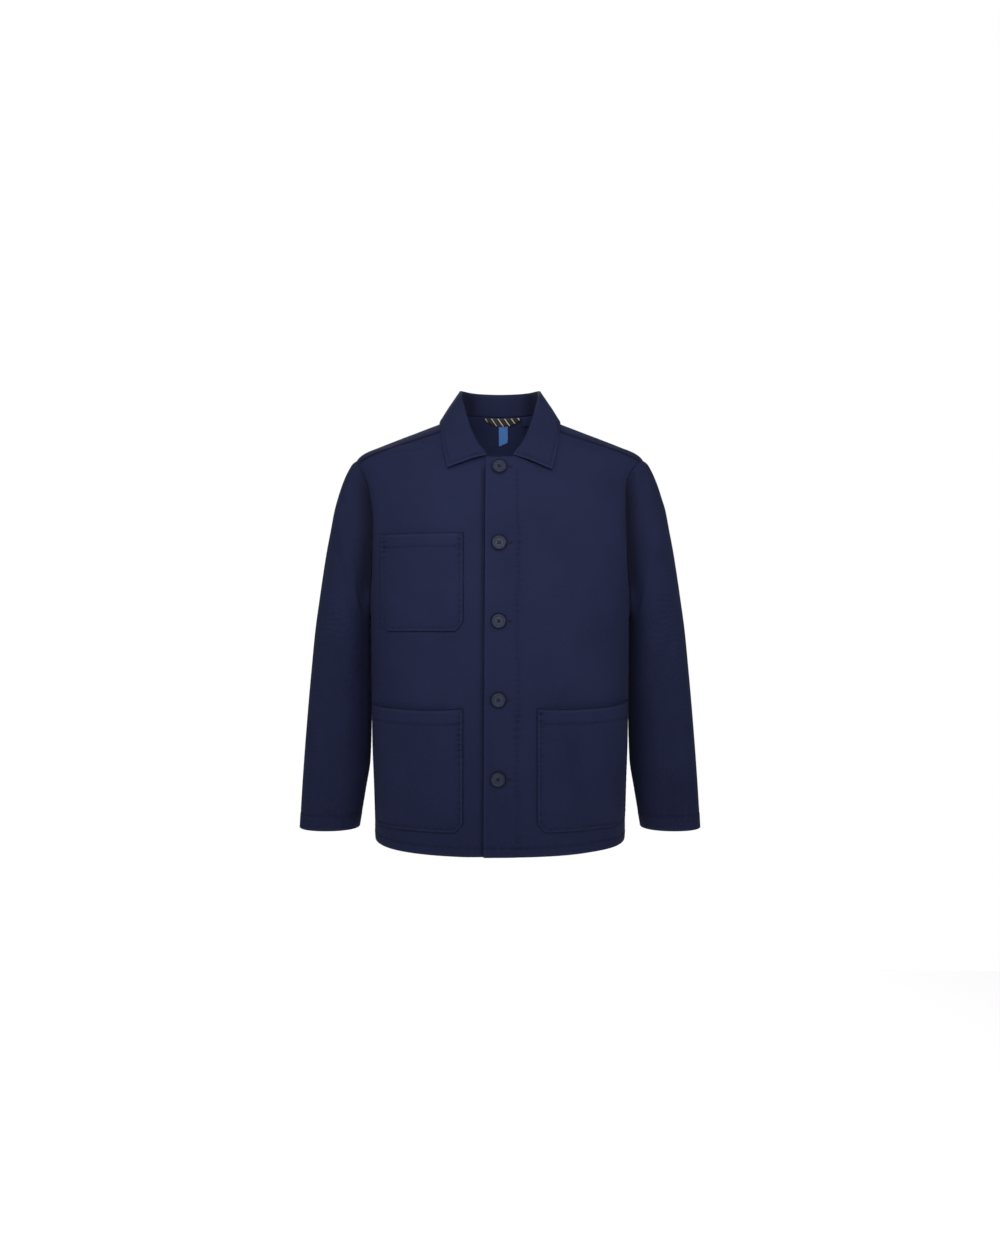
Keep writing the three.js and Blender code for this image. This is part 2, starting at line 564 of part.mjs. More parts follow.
function sleeveOval(side, t, turn) {
  const read = (key) => column(SLEEVE_SECTIONS, "t", key, t);
  const round = 2 / SLEEVE_ROUNDNESS;
  const along = Math.sign(Math.cos(turn)) * Math.abs(Math.cos(turn)) ** round;
  const across = Math.sign(Math.sin(turn)) * Math.abs(Math.sin(turn)) ** round;
  const share = (along + 1) / 2;
  return new THREE.Vector3(
    side * lerp(read("innerX"), read("outerX"), share),
    read("middleY") - across * read("halfDepth"),
    lerp(read("innerZ"), read("outerZ"), share),
  );
}

function sleeveFoldDepth(side, t, turn) {
  let sum = 0;
  for (const fold of SLEEVE_FOLDS.filter((f) => f.side === side)) {
    const turned = radians(fold.turn2 - fold.turn1) * SLEEVE_RADIUS;
    const line = new THREE.Vector2(turned, (fold.t2 - fold.t1) * SECTION_STEP);
    const from = new THREE.Vector2(turnPast(turn, fold.turn1) * SLEEVE_RADIUS, (t - fold.t1) * SECTION_STEP);
    const length = line.length();
    line.normalize();
    sum += foldDepth(from.cross(line), from.dot(line), length, fold.width, fold.depth);
  }
  return sum;
}

function sleeveNet(side) {
  const around = 2 * ARMHOLE_STEPS;
  const turns = Array.from({ length: around }, (_, j) => (2 * Math.PI * j) / around);
  const edge = turns.map((turn) => {
    const { angle, z } = armholePlace(side, turn);
    return bodyPlace(angle, z);
  });
  const hole = new THREE.Vector3();
  for (const { point } of edge) hole.addScaledVector(point, 1 / around);
  const start = edge.map(({ point, normal }, j) => {
    const turn = Math.min(turns[j], 2 * Math.PI - turns[j]);
    const intoHole = hole.clone().sub(point).projectOnPlane(normal).normalize();
    const beside = BESIDE_OUT * smooth(turn, BESIDE_FROM, BESIDE_TO);
    const place = point.clone().addScaledVector(intoHole, SEAM_GAP + SET_IN).addScaledVector(normal, beside);
    return { point: place, normal };
  });
  const rings = [start];
  for (let t = 1; t < SLEEVE_SECTIONS.length; t += 1) {
    const share = 1 - smooth(t, 0, BLEND_SECTIONS);
    rings.push(
      turns.map((turn, j) => {
        const shift = start[j].point.clone().sub(sleeveOval(side, 0, turn)).multiplyScalar(share);
        return { point: sleeveOval(side, t, turn).add(shift) };
      }),
    );
  }
  // The folds draw the cloth in, away from the side that faces out of the sleeve's axis.
  return withNetNormals(rings, true).map((ring, t) =>
    ring.map(({ point, normal }, j) => {
      if (t === 0) return start[j];
      const fromAxis = new THREE.Vector3(point.x - side * SLEEVE_AXIS.x, point.y - SLEEVE_AXIS.y, 0);
      const out = normal.clone().multiplyScalar(normal.dot(fromAxis) < 0 ? -1 : 1);
      return { point: point.clone().addScaledVector(out, -sleeveFoldDepth(side, t, turns[j])), normal: out };
    }),
  );
}

for (const [name, side] of [["sleeve_left", 1], ["sleeve_right", -1]]) {
  add(name, wall(net(sleeveNet(side), { closed: true }), -TWILL / 2, TWILL / 2), navyTwill);
}

// The collar is one piece: a stand that rises from the neck seam, a tight fold, and a fall that turns out
// over it and lies on the shoulders. At its front ends the stand runs out to almost nothing.
const neckStations = [{ u: 0, z: NECK_FRONT_Z, angle: angleAtX(COLLAR_START_X, NECK_FRONT_Z) }];
NECKLINE_ROWS.forEach((z, i) => {
  neckStations.push({ u: (4 * (i + 1)) / NECKLINE_ROWS.length, z, angle: angleAtX(neckX(z), z) });
});
for (let j = BACK_COLUMNS - 1; j >= 0; j -= 1) {
  const share = j / BACK_COLUMNS;
  const z = lerp(NAPE_Z, NECK_SEAM_Z, share ** NAPE_CURVE);
  neckStations.push({ u: 8 - 4 * share, z, angle: lerp(Math.PI, seamAngle(NECK_SEAM_Z), share) });
}

function collarSection(side, i) {
  const read = (key) => column(COLLAR_STATIONS, "u", key, neckStations[i].u);
  const mirror = new THREE.Vector3(side, 1, 1);
  const neckAt = (n) => {
    const station = neckStations[clamp(n, 0, neckStations.length - 1)];
    return bodyPlace(station.angle, station.z);
  };
  const neck = neckAt(i);
  const along = neckAt(i + 1).point.sub(neckAt(i - 1).point);
  const fold = new THREE.Vector3(read("foldX"), read("foldY"), read("foldZ"));
  const edge = new THREE.Vector3(read("edgeX"), read("edgeY"), read("edgeZ"));
  const pulled = side > 0 ? 0 : 1 - smooth(neckStations[i].u, 0, RIGHT_POINT.fadesBy);
  edge.add(new THREE.Vector3(RIGHT_POINT.out * pulled, 0, RIGHT_POINT.up * pulled));
  const rise = fold.clone().sub(neck.point).normalize();
  const hole = neck.normal.clone().cross(along).normalize();
  const lean = Math.abs(rise.dot(neck.normal));
  const halfWalls = (TWILL + COLLAR_TWILL) / 2;
  const foot = neck.point.clone().addScaledVector(hole, SEAM_GAP + 2 * SET_IN + halfWalls * lean);
  const clear = halfWalls + COLLAR_LIFT;
  for (let step = 0; step < CLEARING_STEPS; step += 1) {
    const { distance, way } = outsideForm(edge);
    edge.addScaledVector(way, clear - distance);
  }
  const up = fold.clone().sub(foot).normalize();
  const out = neck.normal.clone().projectOnPlane(up).normalize();
  const centre = fold.clone().addScaledVector(out.clone().sub(up), COLLAR_FOLD_RADIUS);
  const points = [foot, foot.clone().lerp(fold, 0.5)];
  for (let step = 0; step <= COLLAR_FOLD_STEPS; step += 1) {
    const turn = (Math.PI * step) / COLLAR_FOLD_STEPS;
    points.push(
      centre.clone()
        .addScaledVector(out, -COLLAR_FOLD_RADIUS * Math.cos(turn))
        .addScaledVector(up, COLLAR_FOLD_RADIUS * Math.sin(turn)),
    );
  }
  const turnedOver = points.at(-1).clone();
  for (const share of FALL_SHARES) {
    const point = turnedOver.clone().lerp(edge, share);
    point.addScaledVector(outsideForm(point).way, COLLAR_ROLL * 4 * share * (1 - share));
    const { distance, way } = outsideForm(point);
    if (distance < clear) point.addScaledVector(way, clear - distance);
    points.push(point);
  }
  return points.map((point) => ({ point: point.multiply(mirror) }));
}

function collarNet() {
  const left = neckStations.map((_, i) => collarSection(1, i));
  const right = neckStations.slice(1).map((_, i) => collarSection(-1, neckStations.length - 2 - i));
  return withNetNormals([...left, ...right]);
}

add("collar", wall(net(collarNet()), -COLLAR_TWILL / 2, COLLAR_TWILL / 2), navyTwill);

// A four-hole button with a raised rim, lying on the left front with its face outwards.
function solidOf(geometry) {
  const plain = new THREE.BufferGeometry().setAttribute("position", geometry.getAttribute("position"));
  if (geometry.index) plain.setIndex(geometry.index);
  const merged = mergeVertices(plain, 1e-3);
  const triVerts = new Uint32Array(merged.index.array);
  return new wasm.Manifold(
    new wasm.Mesh({ numProp: 3, vertProperties: merged.attributes.position.array, triVerts }),
  );
}

function geometryOf(solid) {
  const { vertProperties, triVerts } = solid.getMesh();
  const geometry = new THREE.BufferGeometry();
  geometry.setAttribute("position", new THREE.BufferAttribute(new Float32Array(vertProperties), 3));
  geometry.setIndex(new THREE.BufferAttribute(new Uint32Array(triVerts), 1));
  return geometry;
}

function buttonGeometry() {
  const radius = BUTTON_DIAMETER / 2;
  const profile = [
    [0, 0],
    [radius - 1.2, 0],
    [radius, 1.8],
    [radius - 0.9, BUTTON_THICKNESS],
    [radius - 2.6, BUTTON_THICKNESS],
    [radius - 3.8, BUTTON_DISH],
    [0, BUTTON_DISH],
  ].map(([out, up]) => new THREE.Vector2(out, up));
  let button = solidOf(new THREE.LatheGeometry(profile, BUTTON_SIDES));
  const holeRadius = BUTTON_HOLE_DIAMETER / 2;
  for (const [x, z] of [[1, 1], [1, -1], [-1, 1], [-1, -1]]) {
    const drill = new THREE.CylinderGeometry(holeRadius, holeRadius, 3 * BUTTON_THICKNESS, BUTTON_HOLE_SIDES);
    drill.translate((x * BUTTON_HOLE_SPACING) / 2, BUTTON_THICKNESS / 2, (z * BUTTON_HOLE_SPACING) / 2);
    button = button.subtract(solidOf(drill));
  }
  return geometryOf(button);
}

const buttonShape = buttonGeometry();
for (let i = 0; i < BUTTON_COUNT; i += 1) {
  const z = TOP_BUTTON_Z - i * BUTTON_SPACING;
  const { point, normal } = bodyPlace(angleAtX(buttonLineX(z), z), z, TWILL / 2 + SEAM_GAP + SET_IN);
  const button = add(`button_${i + 1}`, buttonShape, navyPlastic);
  button.position.copy(point);
  button.quaternion.setFromUnitVectors(new THREE.Vector3(0, 1, 0), normal);
}

// Tapes inside the back of the neck lie on the inner face of the back. Each is a net of two cells across
// and a cell between each pair of places; a place is x, z and the tilt of the tape's width there.
function onBack(x, z) {
  const ray = new THREE.Raycaster(new THREE.Vector3(x, 0, z), new THREE.Vector3(0, 1, 0));
  const [hit] = ray.intersectObject(back);
  return { point: hit.point, normal: hit.face.normal.clone().negate() };
}

function tape(places, width, deep) {
  const grid = places.map(([x, z, tilt]) =>
    [-1, 0, 1].map((j) => {
      const out = (width / 2) * j;
      return onBack(x + out * Math.cos(tilt), z + out * Math.sin(tilt));
    }),
  );
  return wall(net(grid), -deep - TAPE, -deep);
}

// The hanger loop is a tape sewn in at both ends, sagging a little between them.
const LOOP = { middleX: 6.5, span: 58, width: 9.5, topZ: 3.4, sag: 1.8, steps: 6 };
const loopPath = Array.from({ length: LOOP.steps + 1 }, (_, i) => {
  const s = (2 * i) / LOOP.steps - 1;
  return [LOOP.middleX + (s * LOOP.span) / 2, LOOP.topZ - LOOP.sag * (1 - s ** 2), Math.PI / 2];
});
add("hanger_loop", tape(loopPath, LOOP.width, 3 * LAYER_GAP + TAPE + 2 * SET_IN), stripedTape);

// The folded woven label and the small size tab hang from the same seam, and are left plain.
const LABEL = { x: 5.5, width: 15, top: 6, bottom: -31 };
const labelPath = [0, 1, 2, 3].map((i) => [LABEL.x, lerp(LABEL.top, LABEL.bottom, i / 3), 0]);
add("woven_label", tape(labelPath, LABEL.width, 2 * LAYER_GAP), blueTape);
const SIZE_TAB = { x: 47, width: 10, top: 5, bottom: -8 };
const tabPath = [0, 1].map((i) => [SIZE_TAB.x, lerp(SIZE_TAB.top, SIZE_TAB.bottom, i), 0]);
add("size_tab", tape(tabPath, SIZE_TAB.width, 4 * LAYER_GAP), navyTwill);

export default jacket;
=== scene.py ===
# A men's navy cotton chore jacket, filled out as if worn, with nobody in it. The sections follow the order
# in which it is put together: fronts, back, pockets, sleeves, collar, buttons, and the tapes in the neck.
# Shapes are worked out in millimetres and made in metres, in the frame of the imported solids.
import math

import bpy
import numpy as np
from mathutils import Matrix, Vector


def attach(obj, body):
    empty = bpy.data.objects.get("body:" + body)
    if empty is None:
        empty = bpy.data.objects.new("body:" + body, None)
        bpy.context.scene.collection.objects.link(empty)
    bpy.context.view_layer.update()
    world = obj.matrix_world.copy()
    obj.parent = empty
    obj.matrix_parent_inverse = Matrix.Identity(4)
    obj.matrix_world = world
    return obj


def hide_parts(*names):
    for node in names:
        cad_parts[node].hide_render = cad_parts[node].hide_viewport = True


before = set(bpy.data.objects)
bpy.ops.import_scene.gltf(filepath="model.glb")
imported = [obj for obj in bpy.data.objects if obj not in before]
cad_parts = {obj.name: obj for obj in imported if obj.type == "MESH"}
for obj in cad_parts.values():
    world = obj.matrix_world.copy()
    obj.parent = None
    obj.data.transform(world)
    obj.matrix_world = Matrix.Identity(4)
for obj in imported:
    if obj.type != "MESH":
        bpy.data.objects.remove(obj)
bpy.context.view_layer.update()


def add(name, data):
    """Puts a mesh, curve, light or camera into the scene."""
    made = bpy.data.objects.new(name, data)
    bpy.context.scene.collection.objects.link(made)
    return made


# The camera stands 1.8 m in front of the jacket, level with the middle of its height, as in the photograph.
camera = add("camera", bpy.data.cameras.new("camera"))
camera.data.lens = 30.86
camera.location = (0, -1.8, -0.351)
camera.rotation_euler = (math.pi / 2, 0, 0)
bpy.context.scene.camera = camera


# A white photo studio: an even white room, a broad soft light high on the camera's left, weaker ones beside
# the camera and on its right, one high behind, and a floor of pale paper 0.7 m under the hem.
def colour(text):
    """An sRGB hex colour as linear red, green, blue and alpha."""
    parts = [int(text[i : i + 2], 16) / 255 for i in (1, 3, 5)]
    return [p / 12.92 if p <= 0.04045 else ((p + 0.055) / 1.055) ** 2.4 for p in parts] + [1.0]


def node(tree, kind, settings=None, inputs=None):
    """Adds a node. An input given as another node, for its first output, or as a socket is linked, and any
    other value is set."""
    made = tree.nodes.new(kind)
    for name, value in (settings or {}).items():
        setattr(made, name, value)
    for name, value in (inputs or {}).items():
        if isinstance(value, bpy.types.Node):
            value = value.outputs[0]
        if isinstance(value, bpy.types.NodeSocket):
            tree.links.new(value, made.inputs[name])
        else:
            made.inputs[name].default_value = value
    return made


def surface_material(name, finish):
    """A node material with one Principled surface of a given finish, and its tree and surface node."""
    made = bpy.data.materials.new(name)
    made.use_nodes = True
    surface = next(n for n in made.node_tree.nodes if n.type == "BSDF_PRINCIPLED")
    for socket, value in finish.items():
        surface.inputs[socket].default_value = value
    return made, made.node_tree, surface


def mottled(name, dark, light, scale, roughness, specular=0.5, detail=2.0, grain=0.5, bump=None, sheen=0.0):
    """A material in a fine mottle of two close colours. Its noise has a scale, a detail and a grain, and a
    bump gives it a strength and a height in metres too."""
    made, tree, surface = surface_material(name, {
        "Roughness": roughness, "Specular IOR Level": specular, "Sheen Weight": sheen})
    place = node(tree, "ShaderNodeTexCoord")
    mottle = node(tree, "ShaderNodeTexNoise", inputs={
        "Vector": place.outputs["Object"], "Scale": scale, "Detail": detail, "Roughness": grain})
    mixed = node(tree, "ShaderNodeMixRGB", inputs={
        "Fac": mottle, "Color1": colour(dark), "Color2": colour(light)})
    tree.links.new(mixed.outputs[0], surface.inputs["Base Color"])
    if bump:
        raised = node(tree, "ShaderNodeBump", inputs={
            "Height": mottle, "Strength": bump[0], "Distance": bump[1]})
        tree.links.new(raised.outputs["Normal"], surface.inputs["Normal"])
    return made


room = bpy.data.worlds.new("white room")
room.use_nodes = True
# The walls are seen fully lit, and light the jacket with a fifth of that, so that its shadows stay clear.
seen = node(room.node_tree, "ShaderNodeLightPath")
wall_light = node(room.node_tree, "ShaderNodeMapRange", inputs={
    "Value": seen.outputs["Is Camera Ray"], "To Min": 0.18, "To Max": 1.0})
walls = room.node_tree.nodes["Background"]
walls.inputs["Color"].default_value = (1, 1, 1, 1)
room.node_tree.links.new(wall_light.outputs[0], walls.inputs["Strength"])
bpy.context.scene.world = room
bpy.context.scene.view_settings.view_transform = "Standard"

FLOOR_Z = -1.45
FLOOR_HALF = 1.6
floor_mesh = bpy.data.meshes.new("floor")
floor_corners = [(x * FLOOR_HALF, y * FLOOR_HALF, FLOOR_Z) for x, y in ((-1, -1), (1, -1), (1, 1), (-1, 1))]
floor_mesh.from_pydata(floor_corners, [], [(0, 1, 2, 3)])
floor = add("floor", floor_mesh)
paper = surface_material("evenly lit white paper", {
    "Base Color": colour("#f4f4f4"), "Roughness": 0.9,
    "Emission Color": (1, 1, 1, 1), "Emission Strength": 0.65})[0]
floor_mesh.materials.append(paper)


def soft_light(name, at, size, watts, aim=(0, 0, -0.35), spread=180):
    """A square soft box at one place, turned to another. A grid in front of it narrows its spread."""
    light = bpy.data.lights.new(name, "AREA")
    light.size = size
    light.energy = watts
    light.spread = math.radians(spread)
    box = add(name, light)
    box.location = at
    box.rotation_euler = (Vector(aim) - Vector(at)).to_track_quat("-Z", "Y").to_euler()


soft_light("key light", (-1.0, -1.4, 0.9), 1.1, 14)
soft_light("front light", (0.15, -2.0, 0.3), 0.8, 4.7, (0, 0, -0.06), 60)
soft_light("side light", (1.5, -0.9, 0.5), 1.2, 6)
soft_light("back light", (-0.4, 1.9, 1.3), 1.4, 24)

# Fronts. Each is one piece of 2/1 cotton twill, about 300 g per square metre, with a facing turned in
# along the front edge and stitched down, and a hem turned up 14 mm. The wearer's left front laps over the
# right one, and its facing is wider. Their edges meet the back's at the sides and on the shoulders.
TWILL = 1.4
SEAM_GAP = 0.4
LAYER_GAP = 0.3
HEM_Z = -709
HEM_RISE = 7
HEM_CORNER_RISE = 5
UNDERARM_Z = -339
SHOULDER_Z = -78
NECK_FRONT_Z = -84
NECK_SEAM_Z = -14.5
NAPE_Z = 10.5
OVERLAP = 21.5
TOP_BUTTON_Z = -101
BUTTON_SPACING = 122
BUTTON_LINE_TOP_X = -0.8
BUTTON_LINE_HEM_X = -3.6
NECK_HALF_WIDTH = 72
NECK_ROUNDNESS = 2.2
NECK_TOP_Z = -8
COLLAR_START_X = 22
SEAM_FORWARD_AT_ARM = 14
ARMHOLE_HALF_DEPTH = 76
ARMHOLE_MIDDLE_Y, ARMHOLE_LEAN, ARMHOLE_BEND = -1.5, 7, 5.5
ARMHOLE_ARCH = {1: 0.95, -1: 1.6, "back": 1.5}  # How pointed it is above, in front of each side and behind.
HIP_ROW_Z = -672
CHEST_ROW_Z = -208.5

# Level sections of the body: height, half the width, depth of the front and back, and how square.
SECTION_Z, SECTION_HALF, SECTION_FRONT, SECTION_BACK, SECTION_SQUARE = np.array([
    (-710, 206, 150, 137, 2.5),
    (-620, 208.5, 150, 132, 2.6),
    (-540, 211.5, 149, 128, 2.6),
    (-430, 213, 146, 125, 2.6),
    (-339, 214, 143, 127, 2.6),
    (-280, 221, 139, 128, 2.5),
    (-220, 229, 133, 127, 2.45),
    (-160, 233, 124, 123, 2.4),
    (-120, 236, 113, 117, 2.3),
    (-99, 240, 104.5, 112, 2.22),
    (-87, 240.5, 100, 109.5, 2.16),
    (-78, 238.5, 96.5, 107, 2.12),
    (-67, 227, 92, 103.5, 2.07),
    (-57, 204.5, 87, 100.5, 2.0),
    (-47, 179.5, 83, 97, 2.0),
    (-37, 154, 78, 92.5, 2.0),
    (-27, 128, 72, 88, 2.0),
    (-17, 102.5, 64, 83.5, 2.0),
    (-5, 78, 54, 78, 2.0),
    (12, 62, 40, 71, 2.0),
]).T

# Soft folds of the body: a line from one place to another by angle round the body, in degrees from the
# middle of the front with the wearer's left positive, and height; then width and depth, and how far the
# line wanders to each side. Depth below zero is a ridge. The first ten are in the solids too.
BODY_FOLDS = [
    (36, -455, 53, -700, 30, 5, 0),
    (62, -430, 66, -690, 24, -3, 0),
    (-28, -345, -52, -300, 24, 3.5, 0),
    (-60, -420, -44, -640, 34, 3.5, 0),
    (58, -160, 40, -300, 34, 3, 0),
    (112, -360, 128, -690, 30, 6, 0),
    (-110, -380, -131, -700, 32, 6, 0),
    (140, -190, 152, -520, 34, 5, 0),
    (-143, -210, -155, -560, 34, 5, 0),
    (178, -420, 172, -700, 40, -4, 0),
    (30, -470, 44, -560, 9, 1.2, 3),
    (-22, -566, -12, -578, 6, 1.2, 2),
    (-62, -300, -36, -335, 9, 0.9, 2),
    (-58, -330, -38, -318, 8, 0.7, 2),
    (24, -360, 40, -470, 14, 0.9, 4),
    (-14, -300, -24, -450, 16, 0.8, 4),
    (64, -250, 50, -330, 10, 1.1, 3),
    (70, -350, 46, -395, 10, 0.9, 3),
    (-72, -350, -50, -400, 10, 0.9, 3),
    (118, -345, 138, -420, 14, 2.2, 4),
    (-116, -350, -136, -430, 14, 2.2, 4),
    (152, -330, 170, -400, 16, 1.6, 5),
    (-158, -300, -176, -360, 16, 1.6, 5),
    (165, -520, 150, -640, 14, 1.6, 4),
    (-168, -560, -150, -660, 14, 1.6, 4),
]


def smooth(x, low, high):
    """Rises from 0 at low to 1 at high, level at both."""
    s = np.clip((x - low) / (high - low), 0, 1)
    return s * s * (3 - 2 * s)


def mix(a, b, share):
    return a + (b - a) * share


def near(distance, reach):
    """1 on a line, fading to 0 some way past the reach on both sides."""
    return np.exp(-((distance / reach) ** 2))


def unit(vectors):
    return vectors / np.maximum(np.linalg.norm(vectors, axis=-1, keepdims=True), 1e-9)


def read(places, values, at):
    """A table's column at any place along it, on a smooth curve that never overshoots its rows."""
    rise = np.diff(values) / np.diff(places)
    slope = np.concatenate([rise[:1], np.zeros(len(values) - 2), rise[-1:]])
    steady = rise[:-1] * rise[1:] > 0
    slope[1:-1][steady] = (2 * rise[:-1] * rise[1:] / np.where(steady, rise[:-1] + rise[1:], 1))[steady]
    i = np.clip(np.searchsorted(places, at) - 1, 0, len(places) - 2)
    span = places[i + 1] - places[i]
    s = np.clip((at - places[i]) / span, 0, 1)
    a, b, full = slope[i] * span, slope[i + 1] * span, values[i + 1] - values[i]
    return values[i] + s * (a + s * (3 * full - 2 * a - b + s * (a + b - 2 * full)))


def body_section(z):
    return [read(SECTION_Z, v, z) for v in (SECTION_HALF, SECTION_FRONT, SECTION_BACK, SECTION_SQUARE)]


def form_point(angle, z):
    """A place on the body's plain form, by angle from the middle of the front and height."""
    angle, z = np.broadcast_arrays(np.asarray(angle, float), np.asarray(z, float))
    half, front, back, square = body_section(z)
    depth = np.where(np.cos(angle) > 0, front, back)
    reach = ((abs(np.sin(angle)) / half) ** square + (abs(np.cos(angle)) / depth) ** square) ** (-1 / square)
    return np.stack([reach * np.sin(angle), -reach * np.cos(angle), z], axis=-1)


def angle_at_x(x, z, behind=False):
    half, front, back, square = body_section(z)
    y = (back if behind else front) * (1 - abs(x / half) ** square) ** (1 / square)
    return np.arctan2(x, -y if behind else y)


def angle_at_y(y, z):
    half, front, back, square = body_section(z)
    x = half * (1 - abs(y / np.where(y < 0, front, back)) ** square) ** (1 / square)
    return np.arctan2(x, -y)


def fold_depth(across, along, length, width, depth):
    """How far a soft fold draws a place in: full along its line, and fading beside it and past its ends."""
    past = np.maximum(0, np.maximum(-along, along - length))
    ends = smooth(along, -width, width) * (1 - smooth(along, length - width, length + width))
    return depth * ends * np.exp(-(across**2 + past**2) / width**2)


WANDER_LENGTH = 23  # Millimetres along a crease over which it swings to one side and back, over 2 pi.


def folds_at(folds, around, along, scale_around, scale_along):
    """The sum of a list of folds at places given by an angle and a second measure."""
    total = np.zeros(np.shape(around))
    for from_angle, from_along, to_angle, to_along, width, depth, wander in folds:
        line = math.radians(to_angle - from_angle) * scale_around, (to_along - from_along) * scale_along
        length = np.hypot(*line)
        way = line[0] / length, line[1] / length
        turned = around - math.radians(from_angle)
        turned = np.arctan2(np.sin(turned), np.cos(turned)) * scale_around
        off = (along - from_along) * scale_along
        across = turned * way[1] - off * way[0]
        onward = turned * way[0] + off * way[1]
        across = across + wander * np.sin(onward / WANDER_LENGTH + from_angle)
        total += fold_depth(across, onward, length, width, depth)
    return total


def body_folds(angle, z):
    half, front, back, _ = body_section(z)
    girth = (half + np.where(np.cos(angle) > 0, front, back)) / 2
    return folds_at(BODY_FOLDS, angle, z, girth, 1)


def body_place(angle, z, out=0.0):
    """A place `out` mm outside the middle of the body's cloth, and the way out there."""
    turn, rise = 0.01, 1.0
    round_ = form_point(angle + turn, z) - form_point(angle - turn, z)
    up = form_point(angle, z + rise) - form_point(angle, z - rise)
    normal = unit(np.cross(round_, up))
    return form_point(angle, z) + normal * np.asarray(out - body_folds(angle, z))[..., None], normal


def armhole_place(side, turn):
    """A place on the armhole's oval at a turn from its top, front positive, as an angle and a height."""
    middle_z, half_height = (SHOULDER_Z + UNDERARM_Z) / 2, (SHOULDER_Z - UNDERARM_Z) / 2
    z = middle_z + half_height * np.cos(turn)
    middle_y = ARMHOLE_MIDDLE_Y - ARMHOLE_LEAN * np.cos(turn) - ARMHOLE_BEND * np.cos(2 * turn)
    arch = np.where(np.sin(turn) > 0, ARMHOLE_ARCH[side], ARMHOLE_ARCH["back"])
    power = mix(1, arch, smooth(np.cos(turn), -0.2, 0.3))
    y = middle_y - ARMHOLE_HALF_DEPTH * np.sign(np.sin(turn)) * abs(np.sin(turn)) ** power
    return side * angle_at_y(y, z), z


NECK_CORNER_X, NECK_CORNER_Z = 31.44, -80
NECKLINE_Z = np.array([NECK_FRONT_Z, NECK_CORNER_Z, -73.5, -64.5, -53, -40.5, -27.5, NECK_SEAM_Z])


def neck_x(z):
    """The front neckline: how far it is to the side at each height, and its start at the collar's end."""
    down = np.minimum(1, abs((z - NECK_TOP_Z) / (NECK_FRONT_Z - 2 - NECK_TOP_Z)))
    x = NECK_HALF_WIDTH * (1 - down**NECK_ROUNDNESS) ** (1 / NECK_ROUNDNESS)
    up = (z - NECK_FRONT_Z) / (NECK_CORNER_Z - NECK_FRONT_Z)
    return np.where(z < NECK_CORNER_Z, mix(COLLAR_START_X, NECK_CORNER_X, up), x)


SEAM_END_Y = form_point(angle_at_x(neck_x(NECK_SEAM_Z), NECK_SEAM_Z), NECK_SEAM_Z)[1]


def seam_angle(z):
    share = (z - SHOULDER_Z) / (NECK_SEAM_Z - SHOULDER_Z)
    return angle_at_y(mix(-SEAM_FORWARD_AT_ARM, SEAM_END_Y, share), z)


def button_line_x(z):
    return mix(BUTTON_LINE_TOP_X, BUTTON_LINE_HEM_X, (z - NECK_FRONT_Z) / (HEM_Z - NECK_FRONT_Z))


def hem_share(share):
    """What part of its rise the hem has made: a slow curve, and a quicker one close to the side seam."""
    return (HEM_RISE * share**2 + HEM_CORNER_RISE * share**8) / (HEM_RISE + HEM_CORNER_RISE)


def panel_rows(side_count, arm_count, shoulder_count, behind, side=1):
    """Rows of a panel from the hem up: heights of their ends, the outer end's angle, and the seam's gap."""
    z = np.linspace(HEM_Z, UNDERARM_Z, side_count)
    hem = np.clip((HIP_ROW_Z - z) / (HIP_ROW_Z - HEM_Z), 0, 1)
    outer_z = z + (HEM_RISE + HEM_CORNER_RISE) * hem
    sides = np.stack([z, outer_z, np.full(side_count, math.pi / 2), np.full(side_count, 0.5)])
    turn = np.linspace(math.pi, 0, arm_count + 1)[1:]
    angle, z = armhole_place(side, -turn if behind else turn)
    rise = np.maximum(0, 1 - 2 * turn / math.pi)
    inner_z = z if behind else np.where(rise > 0, mix(CHEST_ROW_Z, NECK_FRONT_Z, rise**0.9), z)
    arm = np.stack([inner_z, z, side * angle, np.where(turn > 0, 0, 0.8)])
    share = np.linspace(0, 1, shoulder_count + 1)[1:] * (1 if behind else 0.985)
    z = mix(SHOULDER_Z, NECK_SEAM_Z, share)
    inner_z = mix(SHOULDER_Z, NAPE_Z, share) if behind else np.interp(share * 7, np.arange(8), NECKLINE_Z)
    shoulder = np.stack([inner_z, z, seam_angle(z), np.full(shoulder_count, 0.8)])
    return np.concatenate([sides, arm, shoulder], axis=1)


def arc_lengths(points, axis):
    """How far each point of a net is from its first row or column, along the cloth."""
    steps = np.linalg.norm(np.diff(points, axis=axis), axis=-1)
    pad = [(1, 0) if a == axis else (0, 0) for a in range(2)]
    return np.cumsum(np.pad(steps, pad), axis=axis)


STITCH_GROOVE = 2.2
STITCH_LINE = 1.6


def seam_dent(distance, along, depth=0.5, pucker=0.4, reach=8, wave=9.0, shift=0.0):
    """What a line of stitches does to the cloth: a narrow groove, and uneven ripples across it."""
    groove = depth * near(distance, STITCH_GROOVE)
    drift = along + 2.6 * np.sin(along / 23 + shift) + 1.7 * np.sin(along / 9.7 + 2.3 * shift)
    swell = 0.62 + 0.38 * np.sin(along / 41 + 3 * shift) + 0.3 * np.sin(along / 15.3 + shift)
    ripple = np.sin(2 * math.pi * drift / wave + shift)
    return pucker * np.clip(swell, 0.1, 1.2) * ripple * near(distance, reach) - groove


